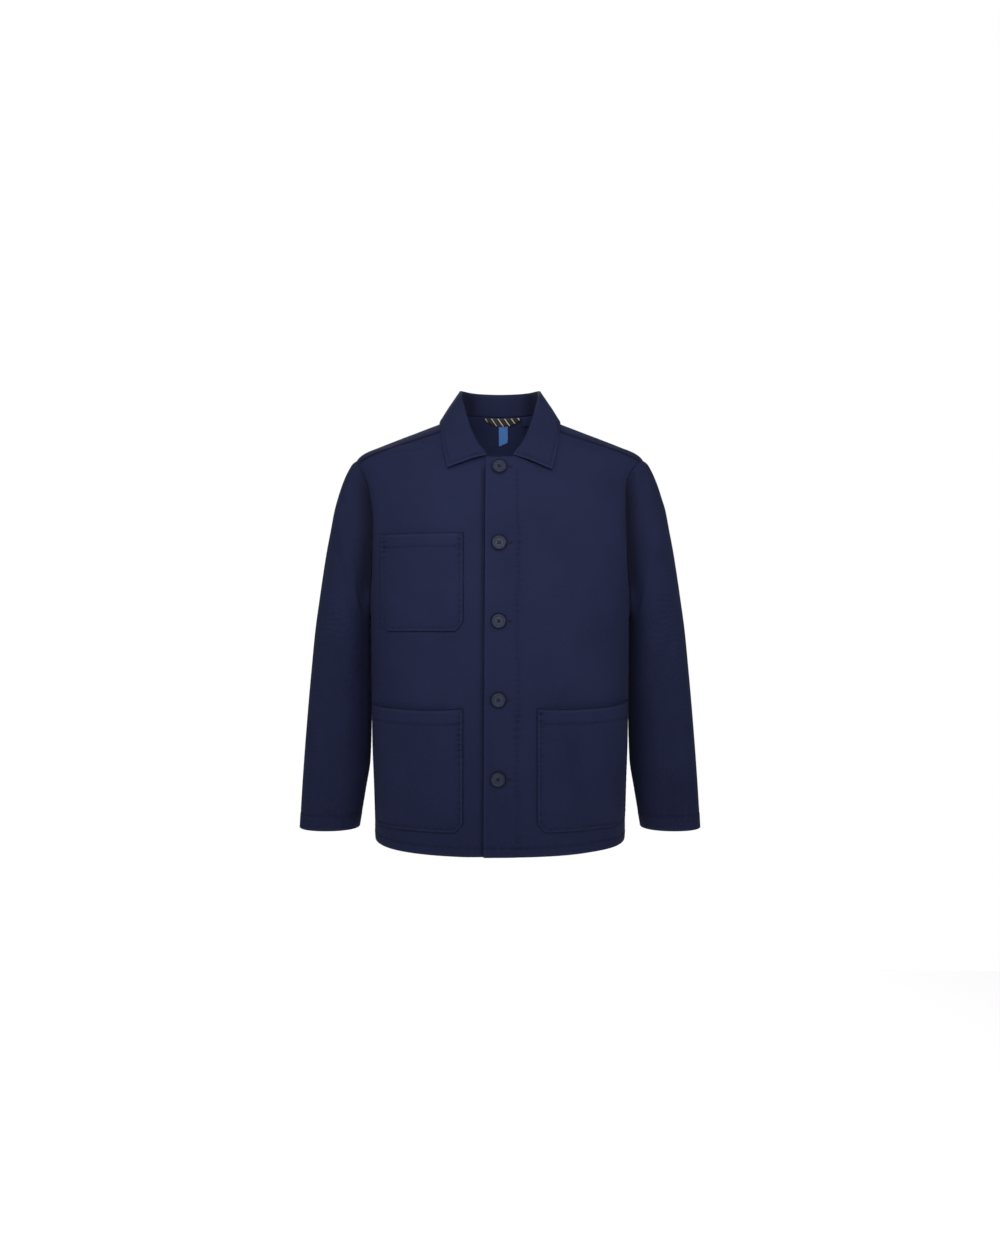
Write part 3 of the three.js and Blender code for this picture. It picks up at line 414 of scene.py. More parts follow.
def seam_shade(distance, along, wave=9.0, shift=0.0, reach=3.5, line=0.45, ticks=0.5):
    """Painted shade beside stitches: a thin dark line along them, and dark ticks in the hollows of the
    ripples across them.
    """
    hollow = seam_dent(distance, along, 0, 1.0, reach, wave, shift)
    return -line * near(distance, STITCH_LINE) - ticks * np.maximum(0, -hollow) * 1.6


EDGE_ROUNDING = 0.7  # How far a cut edge bulges, as a share of half the cloth's thickness.


def turned_in(distance, width):
    """Where cloth lies double, from its edge to a line of stitches."""
    return 1 - smooth(distance, width - 1.5, width + 1.5)


def cloth(name, middle, normals, over, under, wear_and_painted_shade=0.0, keep=None, closed=False, material=None):
    """Makes a shell from a net of points: a face `over` mm outside them, one `under` mm inside, and a rounded
    edge between. `keep` drops cells of the net. `wear_and_painted_shade` runs from -1, deep painted shade,
    through 0, plain, to 1, pale, partly rubbed nap and partly painted highlight."""
    rows, columns = middle.shape[:2]
    wrapped = np.concatenate([middle, middle[:, :1]], axis=1) if closed else middle
    uv = np.stack([arc_lengths(wrapped, 1), arc_lengths(wrapped, 0)], axis=-1)
    k, j = np.meshgrid(np.arange(rows - 1), np.arange(columns if closed else columns - 1), indexing="ij")
    if keep is not None:
        k, j = k[keep], j[keep]
    k, j = k.ravel(), j.ravel()
    after = (j + 1) % columns
    low, high = k * columns, (k + 1) * columns
    corners = np.stack([low + j, low + after, high + after, high + j], 1)
    corner_uv = uv[np.stack([k, k, k + 1, k + 1], 1), np.stack([j, j + 1, j + 1, j], 1)]
    flat, out = middle.reshape(-1, 3), normals.reshape(-1, 3)
    facing = np.cross(flat[corners[:, 1]] - flat[corners[:, 0]], flat[corners[:, 3]] - flat[corners[:, 0]])
    if (facing * out[corners[:, 0]]).sum() < 0:
        corners, corner_uv = corners[:, ::-1], corner_uv[:, ::-1]
    used, corners = np.unique(corners, return_inverse=True)
    corners = corners.reshape(-1, 4)
    count = len(used)
    over, under, wear_and_painted_shade = (
        np.broadcast_to(measure, (rows, columns)).reshape(-1)[used, None] for measure in (over, under, wear_and_painted_shade))
    flat, out = flat[used], out[used]
    start, end = corners.ravel(), np.roll(corners, -1, axis=1).ravel()
    open_edge = ~np.isin(start * count + end, end * count + start)
    start, end, edge_uv = start[open_edge], end[open_edge], corner_uv.reshape(-1, 2)[open_edge]
    rim_of = np.full(count, -1)
    rim = np.unique(np.concatenate([start, end]))
    rim_of[rim] = np.arange(len(rim)) + 2 * count
    away = np.zeros((count, 3))
    aside = unit(np.cross(flat[end] - flat[start], out[start]))
    np.add.at(away, start, aside)
    np.add.at(away, end, aside)
    thick = (over + under) / 2
    middle_of_wall = flat + out * (over - under) / 2
    rims = (middle_of_wall + unit(away) * thick * EDGE_ROUNDING)[rim]
    points = np.concatenate([flat + out * over, flat - out * under, rims]) / 1000
    outer_edge = np.stack([end, start, rim_of[start], rim_of[end]], 1)
    inner_edge = np.stack([rim_of[end], rim_of[start], start + count, end + count], 1)
    faces = np.concatenate([corners, corners[:, ::-1] + count, outer_edge, inner_edge])
    rim_uv = np.repeat(edge_uv[:, None], 4, axis=1)
    face_uv = np.concatenate([corner_uv, corner_uv[:, ::-1], rim_uv, rim_uv]) / 1000
    mesh = bpy.data.meshes.new(name)
    mesh.vertices.add(len(points))
    mesh.vertices.foreach_set("co", points.ravel())
    mesh.loops.add(faces.size)
    mesh.loops.foreach_set("vertex_index", faces.ravel())
    mesh.polygons.add(len(faces))
    mesh.polygons.foreach_set("loop_start", np.arange(0, faces.size, 4))
    mesh.polygons.foreach_set("loop_total", np.full(len(faces), 4))
    mesh.uv_layers.new(name="cloth").data.foreach_set("uv", face_uv.ravel())
    mesh.attributes.new("wear_and_painted_shade", "FLOAT", "POINT").data.foreach_set(
        "value", np.concatenate([wear_and_painted_shade, wear_and_painted_shade, wear_and_painted_shade[rim]])[:, 0])
    mesh.update(calc_edges=True)
    mesh.polygons.foreach_set("use_smooth", np.ones(len(faces), bool))
    mesh.materials.append(material or navy_twill)
    made = add(name, mesh)
    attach(made, "root")
    return made


# Navy 2/1 cotton twill, soft and slightly brushed: matte, with fine slanting wales, slubs in the yarn and a
# faint unevenness from dyeing and washing. The wear_and_painted_shade attribute paints shade into it in
# seams, hollows and under edges, and pales it along folded edges and ridges, partly as rubbed nap and partly
# as painted highlight.
# A real wale is 0.9 mm wide; here it is drawn 3.6 mm wide so that the render can show it.
WALE = 0.0036
WALE_SLOPE = 1.6
navy_twill, twill_tree, twill_surface = surface_material("navy cotton twill", {
    "Roughness": 0.9, "Specular IOR Level": 0.1, "Sheen Weight": 0.04, "Sheen Roughness": 0.5,
    "Sheen Tint": colour("#7c86b8")})
place = node(twill_tree, "ShaderNodeTexCoord")
across_along = node(twill_tree, "ShaderNodeSeparateXYZ", inputs={"Vector": place.outputs["UV"]})
uneven = node(twill_tree, "ShaderNodeTexNoise", inputs={
    "Vector": place.outputs["UV"], "Scale": 90.0, "Detail": 2.0})
bent = node(twill_tree, "ShaderNodeMath", {"operation": "MULTIPLY_ADD"}, {
    0: uneven, 1: 0.006, 2: across_along.outputs["Y"]})
slant = node(twill_tree, "ShaderNodeMath", {"operation": "MULTIPLY_ADD"}, {
    0: across_along.outputs["X"], 1: WALE_SLOPE, 2: bent})
wale_turn = node(twill_tree, "ShaderNodeMath", {"operation": "MULTIPLY"}, {
    0: slant, 1: 2 * math.pi / (WALE * math.hypot(1, WALE_SLOPE))})
wale = node(twill_tree, "ShaderNodeMath", {"operation": "SINE"}, {0: wale_turn})
slub = node(twill_tree, "ShaderNodeTexNoise", inputs={
    "Vector": place.outputs["UV"], "Scale": 420.0, "Detail": 3.0, "Roughness": 0.6})
dye = node(twill_tree, "ShaderNodeTexNoise", inputs={
    "Vector": place.outputs["Object"], "Scale": 11.0, "Detail": 4.0, "Roughness": 0.55})
weave_height = node(twill_tree, "ShaderNodeMath", {"operation": "MULTIPLY_ADD"}, {
    0: wale, 1: 0.1, 2: slub})
weave = node(twill_tree, "ShaderNodeBump", inputs={
    "Height": weave_height, "Strength": 0.4, "Distance": 0.0006})
dyed = node(twill_tree, "ShaderNodeMixRGB", inputs={
    "Fac": dye, "Color1": colour("#171b33"), "Color2": colour("#1e233e")})
yarn = node(twill_tree, "ShaderNodeMapRange", inputs={
    "Value": weave_height, "From Min": 0.3, "From Max": 0.7, "To Min": 0.9, "To Max": 1.1})
woven = node(twill_tree, "ShaderNodeVectorMath", {"operation": "SCALE"}, {
    0: dyed, "Scale": yarn})
# Below zero the attribute darkens the colour as painted shade, down to about a third; above zero it mixes in
# a paler navy, partly rubbed nap and partly painted highlight.
wear_and_shade_value = node(twill_tree, "ShaderNodeAttribute", {"attribute_name": "wear_and_painted_shade"})
pale_wear_and_highlight_share = node(twill_tree, "ShaderNodeMath", {"operation": "MULTIPLY"}, {
    0: wear_and_shade_value.outputs["Fac"], 1: slub})
painted_shade_scale = node(twill_tree, "ShaderNodeMapRange", inputs={
    "Value": wear_and_shade_value.outputs["Fac"], "From Min": -1.0, "From Max": 0.0, "To Min": 0.32, "To Max": 1.0})
deep = node(twill_tree, "ShaderNodeVectorMath", {"operation": "SCALE"}, {
    0: woven, "Scale": painted_shade_scale})
worn_and_shaded = node(twill_tree, "ShaderNodeMixRGB", inputs={
    "Fac": pale_wear_and_highlight_share, "Color1": deep, "Color2": colour("#272d4e")})
twill_tree.links.new(worn_and_shaded.outputs[0], twill_surface.inputs["Base Color"])
twill_tree.links.new(weave.outputs["Normal"], twill_surface.inputs["Normal"])

# Navy polyester-cotton sewing thread: smooth, and a little darker than the cloth.
navy_thread = mottled("navy sewing thread", "#0e1226", "#151a31", 300.0, 0.8, 0.15)


# Lockstitches. A real stitch is 3 mm of 0.4 mm thread; here the thread is 0.8 mm so that it shows.
STITCH_PITCH = 4.4
STITCH_LENGTH = 3.3
THREAD = 0.8


def stitch_tree(name, crosswise):
    """A row of thread beads along each curve, or across it as on a buttonhole's edge."""
    tree = bpy.data.node_groups.new(name, "GeometryNodeTree")
    sockets = {}
    tree.interface.new_socket("Seam", in_out="INPUT", socket_type="NodeSocketGeometry")
    for title in ("Pitch", "Stitch length", "Thread", "Finish"):
        kind = "NodeSocketMaterial" if title == "Finish" else "NodeSocketFloat"
        sockets[title] = tree.interface.new_socket(title, in_out="INPUT", socket_type=kind).identifier
    tree.interface.new_socket("Stitches", in_out="OUTPUT", socket_type="NodeSocketGeometry")
    given = node(tree, "NodeGroupInput").outputs
    spots = node(tree, "GeometryNodeCurveToPoints", {"mode": "LENGTH"}, {
        "Curve": given["Seam"], "Length": given["Pitch"]})
    way = spots.outputs["Tangent"]
    if crosswise:
        across = node(tree, "ShaderNodeVectorMath", {"operation": "CROSS_PRODUCT"}, {0: way, 1: (0, -1, 0)})
        way = across.outputs[0]
    turn = node(tree, "FunctionNodeAlignRotationToVector", {"axis": "Z"}, {"Vector": way})
    half = node(tree, "ShaderNodeMath", {"operation": "MULTIPLY"}, {0: given["Thread"], 1: 0.5})
    ratio = node(tree, "ShaderNodeMath", {"operation": "DIVIDE"}, {
        0: given["Stitch length"], 1: given["Thread"]})
    bead = node(tree, "GeometryNodeMeshUVSphere", inputs={
        "Segments": 6, "Rings": 5, "Radius": half})
    long_way = node(tree, "ShaderNodeCombineXYZ", inputs={"X": 1.0, "Y": 1.0, "Z": ratio.outputs[0]})
    stretched = node(tree, "GeometryNodeTransform", inputs={
        "Geometry": bead, "Scale": long_way})
    sewn = node(tree, "GeometryNodeInstanceOnPoints", inputs={
        "Points": spots.outputs["Points"], "Instance": stretched, "Rotation": turn})
    real = node(tree, "GeometryNodeRealizeInstances", inputs={"Geometry": sewn})
    finished = node(tree, "GeometryNodeSetMaterial", inputs={
        "Geometry": real, "Material": given["Finish"]})
    smoothed = node(tree, "GeometryNodeSetShadeSmooth", inputs={"Geometry": finished})
    node(tree, "NodeGroupOutput", inputs={"Stitches": smoothed})
    return tree, sockets


seam_tree, seam_sockets = stitch_tree("seam stitches", False)
edge_tree, edge_sockets = stitch_tree("buttonhole stitches", True)


def drawn_along(name, paths, dress):
    """A plain mesh made along paths of points in millimetres, once `dress` has worked on their curve."""
    line = bpy.data.curves.new(name + "_line", "CURVE")
    line.dimensions = "3D"
    for path in paths:
        spline = line.splines.new("POLY")
        spline.points.add(len(path) - 1)
        spline.points.foreach_set("co", np.c_[np.asarray(path) / 1000, np.ones(len(path))].ravel())
    held = add(name + "_line", line)
    dress(held)
    mesh = bpy.data.meshes.new_from_object(held.evaluated_get(bpy.context.evaluated_depsgraph_get()))
    mesh.name = name
    bpy.data.objects.remove(held)
    made = add(name, mesh)
    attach(made, "root")
    return mesh


def sew(name, paths, pitch=STITCH_PITCH, length=STITCH_LENGTH, thread=THREAD, crosswise=False):
    """Stitches along each path."""
    def stitch(seam):
        tree, sockets = (edge_tree, edge_sockets) if crosswise else (seam_tree, seam_sockets)
        rows = seam.modifiers.new("stitches", "NODES")
        rows.node_group = tree
        for title, size in (("Pitch", pitch), ("Stitch length", length), ("Thread", thread)):
            rows[sockets[title]] = size / 1000
        rows[sockets["Finish"]] = navy_thread

    drawn_along(name, paths, stitch)


# The net of a front: rows run from the front edge, or the neckline above it, to the side seam, armhole and
# shoulder seam. The row at the tip of the shoulder starts along the top edge, from the front edge inwards.
FRONT_SIDE_ROWS, FRONT_ARM_ROWS, FRONT_SHOULDER_ROWS = 160, 110, 33
TOP_EDGE_SHARE = 1 / 6
TOP_EDGE_COLUMNS = 32
FRONT_COLUMNS = np.concatenate([
    np.linspace(0, TOP_EDGE_SHARE, TOP_EDGE_COLUMNS + 1), np.linspace(TOP_EDGE_SHARE, 1, 86)[1:]])
TIP_ROW = FRONT_SIDE_ROWS - 1 + FRONT_ARM_ROWS
FACING_WIDTH = {1: 51, -1: 38}
HEM_DEPTH = 14
DOUBLED = 0.45  # How far a hem or facing stands out where the cloth lies double.
UNDER_DEPTH = TWILL + 3 * LAYER_GAP
UNDER_RAMP = (31, 58)


def let_under(side, x):
    """How far the right front is let in where it passes under the left one, by how far over it is."""
    return UNDER_DEPTH * (1 - smooth(x, *UNDER_RAMP)) + 1.8 * (1 - smooth(x, 20, 38)) if side < 0 else 0 * x


def front_net(side):
    row_counts = FRONT_SIDE_ROWS, FRONT_ARM_ROWS, FRONT_SHOULDER_ROWS
    inner_z, outer_z, outer, gap = panel_rows(*row_counts, False, side)
    ends = form_point(outer, outer_z)
    outer = outer - gap * SEAM_GAP / np.hypot(ends[:, 0], ends[:, 1])
    edge_x = side * button_line_x(inner_z) - OVERLAP
    rows = np.arange(len(inner_z))
    share = FRONT_COLUMNS[None, :]
    past_top = np.maximum(0, share - TOP_EDGE_SHARE) / (1 - TOP_EDGE_SHARE)
    inner = angle_at_x(edge_x, inner_z)[:, None]
    column_outer, column_in_z, column_out_z = outer[:, None], inner_z[:, None], outer_z[:, None]
    plain_share = np.where(rows[:, None] < FRONT_SIDE_ROWS, hem_share(share), share)
    plain_angle, plain_z = mix(inner, column_outer, share), mix(column_in_z, column_out_z, plain_share)
    start = angle_at_x(np.where(rows < TIP_ROW, COLLAR_START_X, neck_x(inner_z)), inner_z)[:, None]
    top_x = mix(edge_x[:, None], COLLAR_START_X, np.minimum(1, share / TOP_EDGE_SHARE))
    past_angle = mix(start, column_outer, past_top)
    top_angle = np.where(share < TOP_EDGE_SHARE, angle_at_x(top_x, column_in_z), past_angle)
    top_z = np.where(share < TOP_EDGE_SHARE, column_in_z, mix(column_in_z, column_out_z, past_top))
    share_of_top = np.clip((rows - (TIP_ROW - FRONT_ARM_ROWS // 10)) / (FRONT_ARM_ROWS // 10), 0, 1)[:, None]
    angle, z = mix(plain_angle, top_angle, share_of_top), mix(plain_z, top_z, share_of_top)
    return angle, z


def front_surface(side, angle, z, out=0.0):
    """A place on a front, on its wearer's side of the body, `out` mm outside the middle of the cloth."""
    return body_place(side * angle, z, out - let_under(side, form_point(angle, z)[..., 0]))


ARMHOLE_DIP = {1: 3.6, -1: 2.8}
TIP_FILL = 1.0  # How far the tip of the shoulder is filled out, fading over TIP_ALONG and TIP_DOWN.
TIP_ALONG, TIP_DOWN = 16, 9
TIP_SEAM_ENDS = -110, -92  # The armhole's seam fades away between these heights, as in the photograph.
# A line of stitches in front of each shoulder, this far below its top at two places from the middle.
YOKE_DROP_X, YOKE_DROP = (80, 235), (25, 13)
YOKE_STARTS, YOKE_ENDS = (54, 62), (228, 238)
SHOULDER_TOP_HALF, SHOULDER_TOP_Z = SECTION_HALF[:10:-1], SECTION_Z[:10:-1]
SEAM_EDGE = 2  # How wide the groove along a seam is, on each side of it.
FOLDED_EDGE = 2.5  # How wide the pale line along a folded edge is, partly rubbed nap and partly painted highlight.


def armhole_dip(side, turn):
    """How far the seam of the sleeve draws the cloth in beside the front of the arm, by turn from its top."""
    turn = np.degrees(np.arctan2(np.sin(turn), np.cos(turn)))
    return ARMHOLE_DIP[side] * smooth(turn, 12, 45) * (1 - smooth(turn, 105, 150))


FRONTS = {}
for name, side in (("front_left", 1), ("front_right", -1)):
    angle, z = front_net(side)
    middle, normal = front_surface(side, angle, z)
    from_edge, from_hem = arc_lengths(middle, 1), arc_lengths(middle, 0)
    from_outer = from_edge[:, -1:] - from_edge
    arm_turn = np.zeros(len(z))
    arm_turn[FRONT_SIDE_ROWS:TIP_ROW + 1] = np.linspace(math.pi, 0, FRONT_ARM_ROWS + 1)[1:]
    beside_arm = (arm_turn > 0)[:, None]
    dip = armhole_dip(side, arm_turn)[:, None] * (1 - smooth(from_outer, 0, 15))
    middle = middle - normal * dip[..., None]
    below_tip = 1 - smooth(z, *TIP_SEAM_ENDS)
    facing_line = FACING_WIDTH[side] + 1.2 * np.sin(from_hem / 33) + 0.8 * np.sin(from_hem / 11)
    from_facing = from_edge - facing_line
    relief = DOUBLED * (turned_in(from_edge, facing_line) + turned_in(from_hem, HEM_DEPTH))
    relief = relief + 0.55 * (1 - smooth(from_outer, 5, 7.5)) * beside_arm
    relief = relief + seam_dent(from_facing, from_hem, 0.3, 0.6, 7, 9.5, side) * below_tip
    relief = relief + seam_dent(from_hem - HEM_DEPTH, from_edge, 0.5, 0.55, 9, 12, 1.3 + side)
    relief = relief - 0.5 * near(from_edge, 1.5) - 0.5 * near(from_outer, SEAM_EDGE) * below_tip
    between_buttons = 0.45 + 0.55 * np.sin(math.pi * (z - TOP_BUTTON_Z) / BUTTON_SPACING) ** 2
    lift = (1.7 if side > 0 else 0) * (1 - smooth(from_edge, 0, 16)) * between_buttons * below_tip
    tip = TIP_FILL * near(from_outer, TIP_ALONG) * near(z - SHOULDER_Z, TIP_DOWN)
    middle = middle + normal * (lift + tip)[..., None]

    x = middle[..., 0]
    off_middle = np.abs(x)
    along_shoulder = smooth(off_middle, *YOKE_STARTS) * (1 - smooth(off_middle, *YOKE_ENDS))
    on_shoulder = along_shoulder * smooth(z, -100, -94)
    shoulder_top = np.interp(off_middle, SHOULDER_TOP_HALF, SHOULDER_TOP_Z)
    from_yoke = shoulder_top - np.interp(off_middle, YOKE_DROP_X, YOKE_DROP) - z
    relief = relief + 0.7 * (1 - smooth(from_yoke, -1, 1)) * on_shoulder

    # Pale along the folded front edge and hem, partly rubbed nap and partly painted highlight.
    wear_and_painted_shade = 0.5 * near(from_edge, FOLDED_EDGE) + 0.4 * near(from_hem, FOLDED_EDGE)
    # Painted shade beside the facing and hem stitches.
    wear_and_painted_shade = wear_and_painted_shade + seam_shade(from_facing, from_hem, 9.5, side, 6, 0.1, 0.22) * below_tip
    wear_and_painted_shade = wear_and_painted_shade + seam_shade(from_hem - HEM_DEPTH, from_edge, 12, 1.3 + side, 6, 0.12, 0.16)
    # Painted shade along the yoke's stitches and in the seams at the side, armhole and shoulder, and a
    # painted highlight on the raised band beside the armhole.
    wear_and_painted_shade = wear_and_painted_shade - near(from_yoke, 1.6) * on_shoulder
    wear_and_painted_shade = wear_and_painted_shade - 0.75 * near(from_outer, 2.2) * below_tip + 0.25 * near(from_outer - 6, 3) * beside_arm
    # On the right front, painted shadow beside the edge of the left front that laps over it; on the left
    # front, a painted shadow ring round each button.
    if side < 0:
        wear_and_painted_shade = wear_and_painted_shade - 0.75 * (1 - smooth(-x, 24, 33)) * below_tip
    else:
        for button_z in TOP_BUTTON_Z - BUTTON_SPACING * np.arange(5):
            from_button = np.hypot(x - button_line_x(button_z), z - button_z)
            wear_and_painted_shade = wear_and_painted_shade - 0.9 * near(from_button - 11.2, 2.2)
    wear_and_painted_shade = np.clip(wear_and_painted_shade, -1, 1)
    below_top = np.arange(len(z) - 1)[:, None] < TIP_ROW
    kept = below_top | (np.arange(len(FRONT_COLUMNS) - 1)[None, :] >= TOP_EDGE_COLUMNS)
    over = TWILL / 2 + relief
    panel = cloth(name + "_cloth", middle, normal, over, TWILL / 2, wear_and_painted_shade=wear_and_painted_shade, keep=kept)
    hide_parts(name)
    FRONTS[name] = (middle, normal, relief, from_facing, from_hem)

# Back. One piece from side seam to side seam, which comes forward over the shoulders to the front seams.
BACK_SIDE_ROWS, BACK_ARM_ROWS, BACK_SHOULDER_ROWS, BACK_HALF_COLUMNS = 94, 76, 28, 76
NAPE_CURVE = 2.4
SHOULDER_SEAM = 3
inner_z, outer_z, outer, gap = panel_rows(BACK_SIDE_ROWS, BACK_ARM_ROWS, BACK_SHOULDER_ROWS, True)
ends = form_point(outer, outer_z)
outer = outer + gap * SEAM_GAP / np.hypot(ends[:, 0], ends[:, 1])
share = np.linspace(-1, 1, 2 * BACK_HALF_COLUMNS + 1)[None, :]
above_arms = np.arange(len(inner_z))[:, None] > BACK_SIDE_ROWS + BACK_ARM_ROWS - 2
climb = np.where(above_arms, abs(share) ** NAPE_CURVE, hem_share(abs(share)))
angle = np.sign(share + 1e-9) * mix(math.pi, outer[:, None], abs(share))
z = mix(inner_z[:, None], outer_z[:, None], climb)
back_middle, back_normal = body_place(angle, z)
back_from_hem, from_left = arc_lengths(back_middle, 0), arc_lengths(back_middle, 1)
to_side = np.minimum(from_left, from_left[:, -1:] - from_left)
tip = TIP_FILL * near(to_side, TIP_ALONG) * near(z - SHOULDER_Z, TIP_DOWN)
back_middle = back_middle + back_normal * (tip - 0.8 * near(to_side, 2.2) * above_arms)[..., None]
back_relief = DOUBLED * turned_in(back_from_hem, HEM_DEPTH) - 0.5 * near(to_side, SEAM_EDGE)
back_relief = back_relief + seam_dent(back_from_hem - HEM_DEPTH, from_left, 0.5, 0.4, 9, 12, 0.4)
# Pale along the folded hem, partly rubbed nap and partly painted highlight; painted shade in the side and
# shoulder seams and beside the hem stitches.
back_wear_and_painted_shade = 0.4 * near(back_from_hem, FOLDED_EDGE) - 0.85 * near(to_side, 2.4)
back_wear_and_painted_shade = back_wear_and_painted_shade + seam_shade(back_from_hem - HEM_DEPTH, from_left, 12, 0.4, 6, 0.12, 0.16)
back_wear_and_painted_shade = np.clip(back_wear_and_painted_shade, -1, 1)
back = cloth("back_cloth", back_middle, back_normal, TWILL / 2 + back_relief, TWILL / 2, wear_and_painted_shade=back_wear_and_painted_shade)
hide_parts("back")


def trace(surface, measure, value, axis=1):
    """The line on a net of points where a measure has one value, crossed once in each row (or column)."""
    if axis == 0:
        surface, measure = surface.swapaxes(0, 1), measure.T
    value = np.broadcast_to(value, len(measure))
    line = []
    for points, ruler, wanted in zip(surface, measure, value):
        if ruler[0] <= wanted <= ruler[-1]:
            line.append([np.interp(wanted, ruler, points[:, i]) for i in range(3)])
    return np.array(line)


body_lines = []
for middle, normal, relief, from_facing_line, from_hem in FRONTS.values():
    surface = middle + normal * (TWILL / 2 + relief + 0.1)[..., None]
    lower = slice(0, TIP_ROW - 12)
    body_lines.append(trace(surface[lower], from_facing_line[lower], 0)[8:])
    body_lines.append(trace(surface, from_hem, HEM_DEPTH, 0))
surface = back_middle + back_normal * (TWILL / 2 + back_relief + 0.2)[..., None]
body_lines.append(trace(surface, back_from_hem, HEM_DEPTH, 0))
shoulder = slice(-BACK_SHOULDER_ROWS - 1, -1)
for seam in (SHOULDER_SEAM, from_left[shoulder, -1] - SHOULDER_SEAM):
    body_lines.append(trace(surface[shoulder], from_left[shoulder], seam))
sew("body_stitches", body_lines)

# Patch pockets. Each is one piece of the same twill with its edges turned in and stitched to the front
# 5.5 mm inside them, its lower corners cut off, and a wide hem across the top. The wearer's right has one
# on the chest and one at the hip, the left has one at the hip.
POCKET_INNER_X = 57
POCKET_CORNER = 14
POCKET_SEAM = 5.5
POCKETS = [
    # name, side, top, bottom, outer side in degrees, depth of the top hem, the mouth's slack, sag and climb
    ("chest_pocket", -1, -207, -361, 64.7, 21, 1.5, 0.8, 0),
    ("hip_pocket_right", -1, -480, -672, 74, 23, 2.8, 3.2, 2),
    ("hip_pocket_left", 1, -480, -672, 74, 23, 2.8, 2.4, 8),
]
# Soft troughs across the pockets: x1, z1, x2, z2, width, depth in the pocket's own plane, from its inner
# bottom corner.
POCKET_FOLDS = {
    "chest_pocket": [(12, 91, 117, 50, 12, 1.7), (36, 58, 93, 10, 10, 1.3), (60, 110, 110, 85, 12, -0.9)],
    "hip_pocket_right": [
        (30, 20, 80, 150, 18, 1.1), (120, 30, 160, 160, 20, -0.9), (20, 100, 60, 40, 9, 0.9)],
    "hip_pocket_left": [
        (53, 150, 102, 8, 13, 1.9), (120, 150, 150, 60, 16, 1.2), (20, 60, 60, 30, 10, -0.7)],
}
pocket_lines = []


def on_net(surface, row, column):
    """The places at rows and columns of a net of points, whole or between."""
    k = np.clip(row.astype(int), 0, surface.shape[0] - 2)
    j = np.clip(column.astype(int), 0, surface.shape[1] - 2)
    a, b = (row - k)[:, None], (column - j)[:, None]
    return mix(mix(surface[k, j], surface[k, j + 1], b), mix(surface[k + 1, j], surface[k + 1, j + 1], b), a)


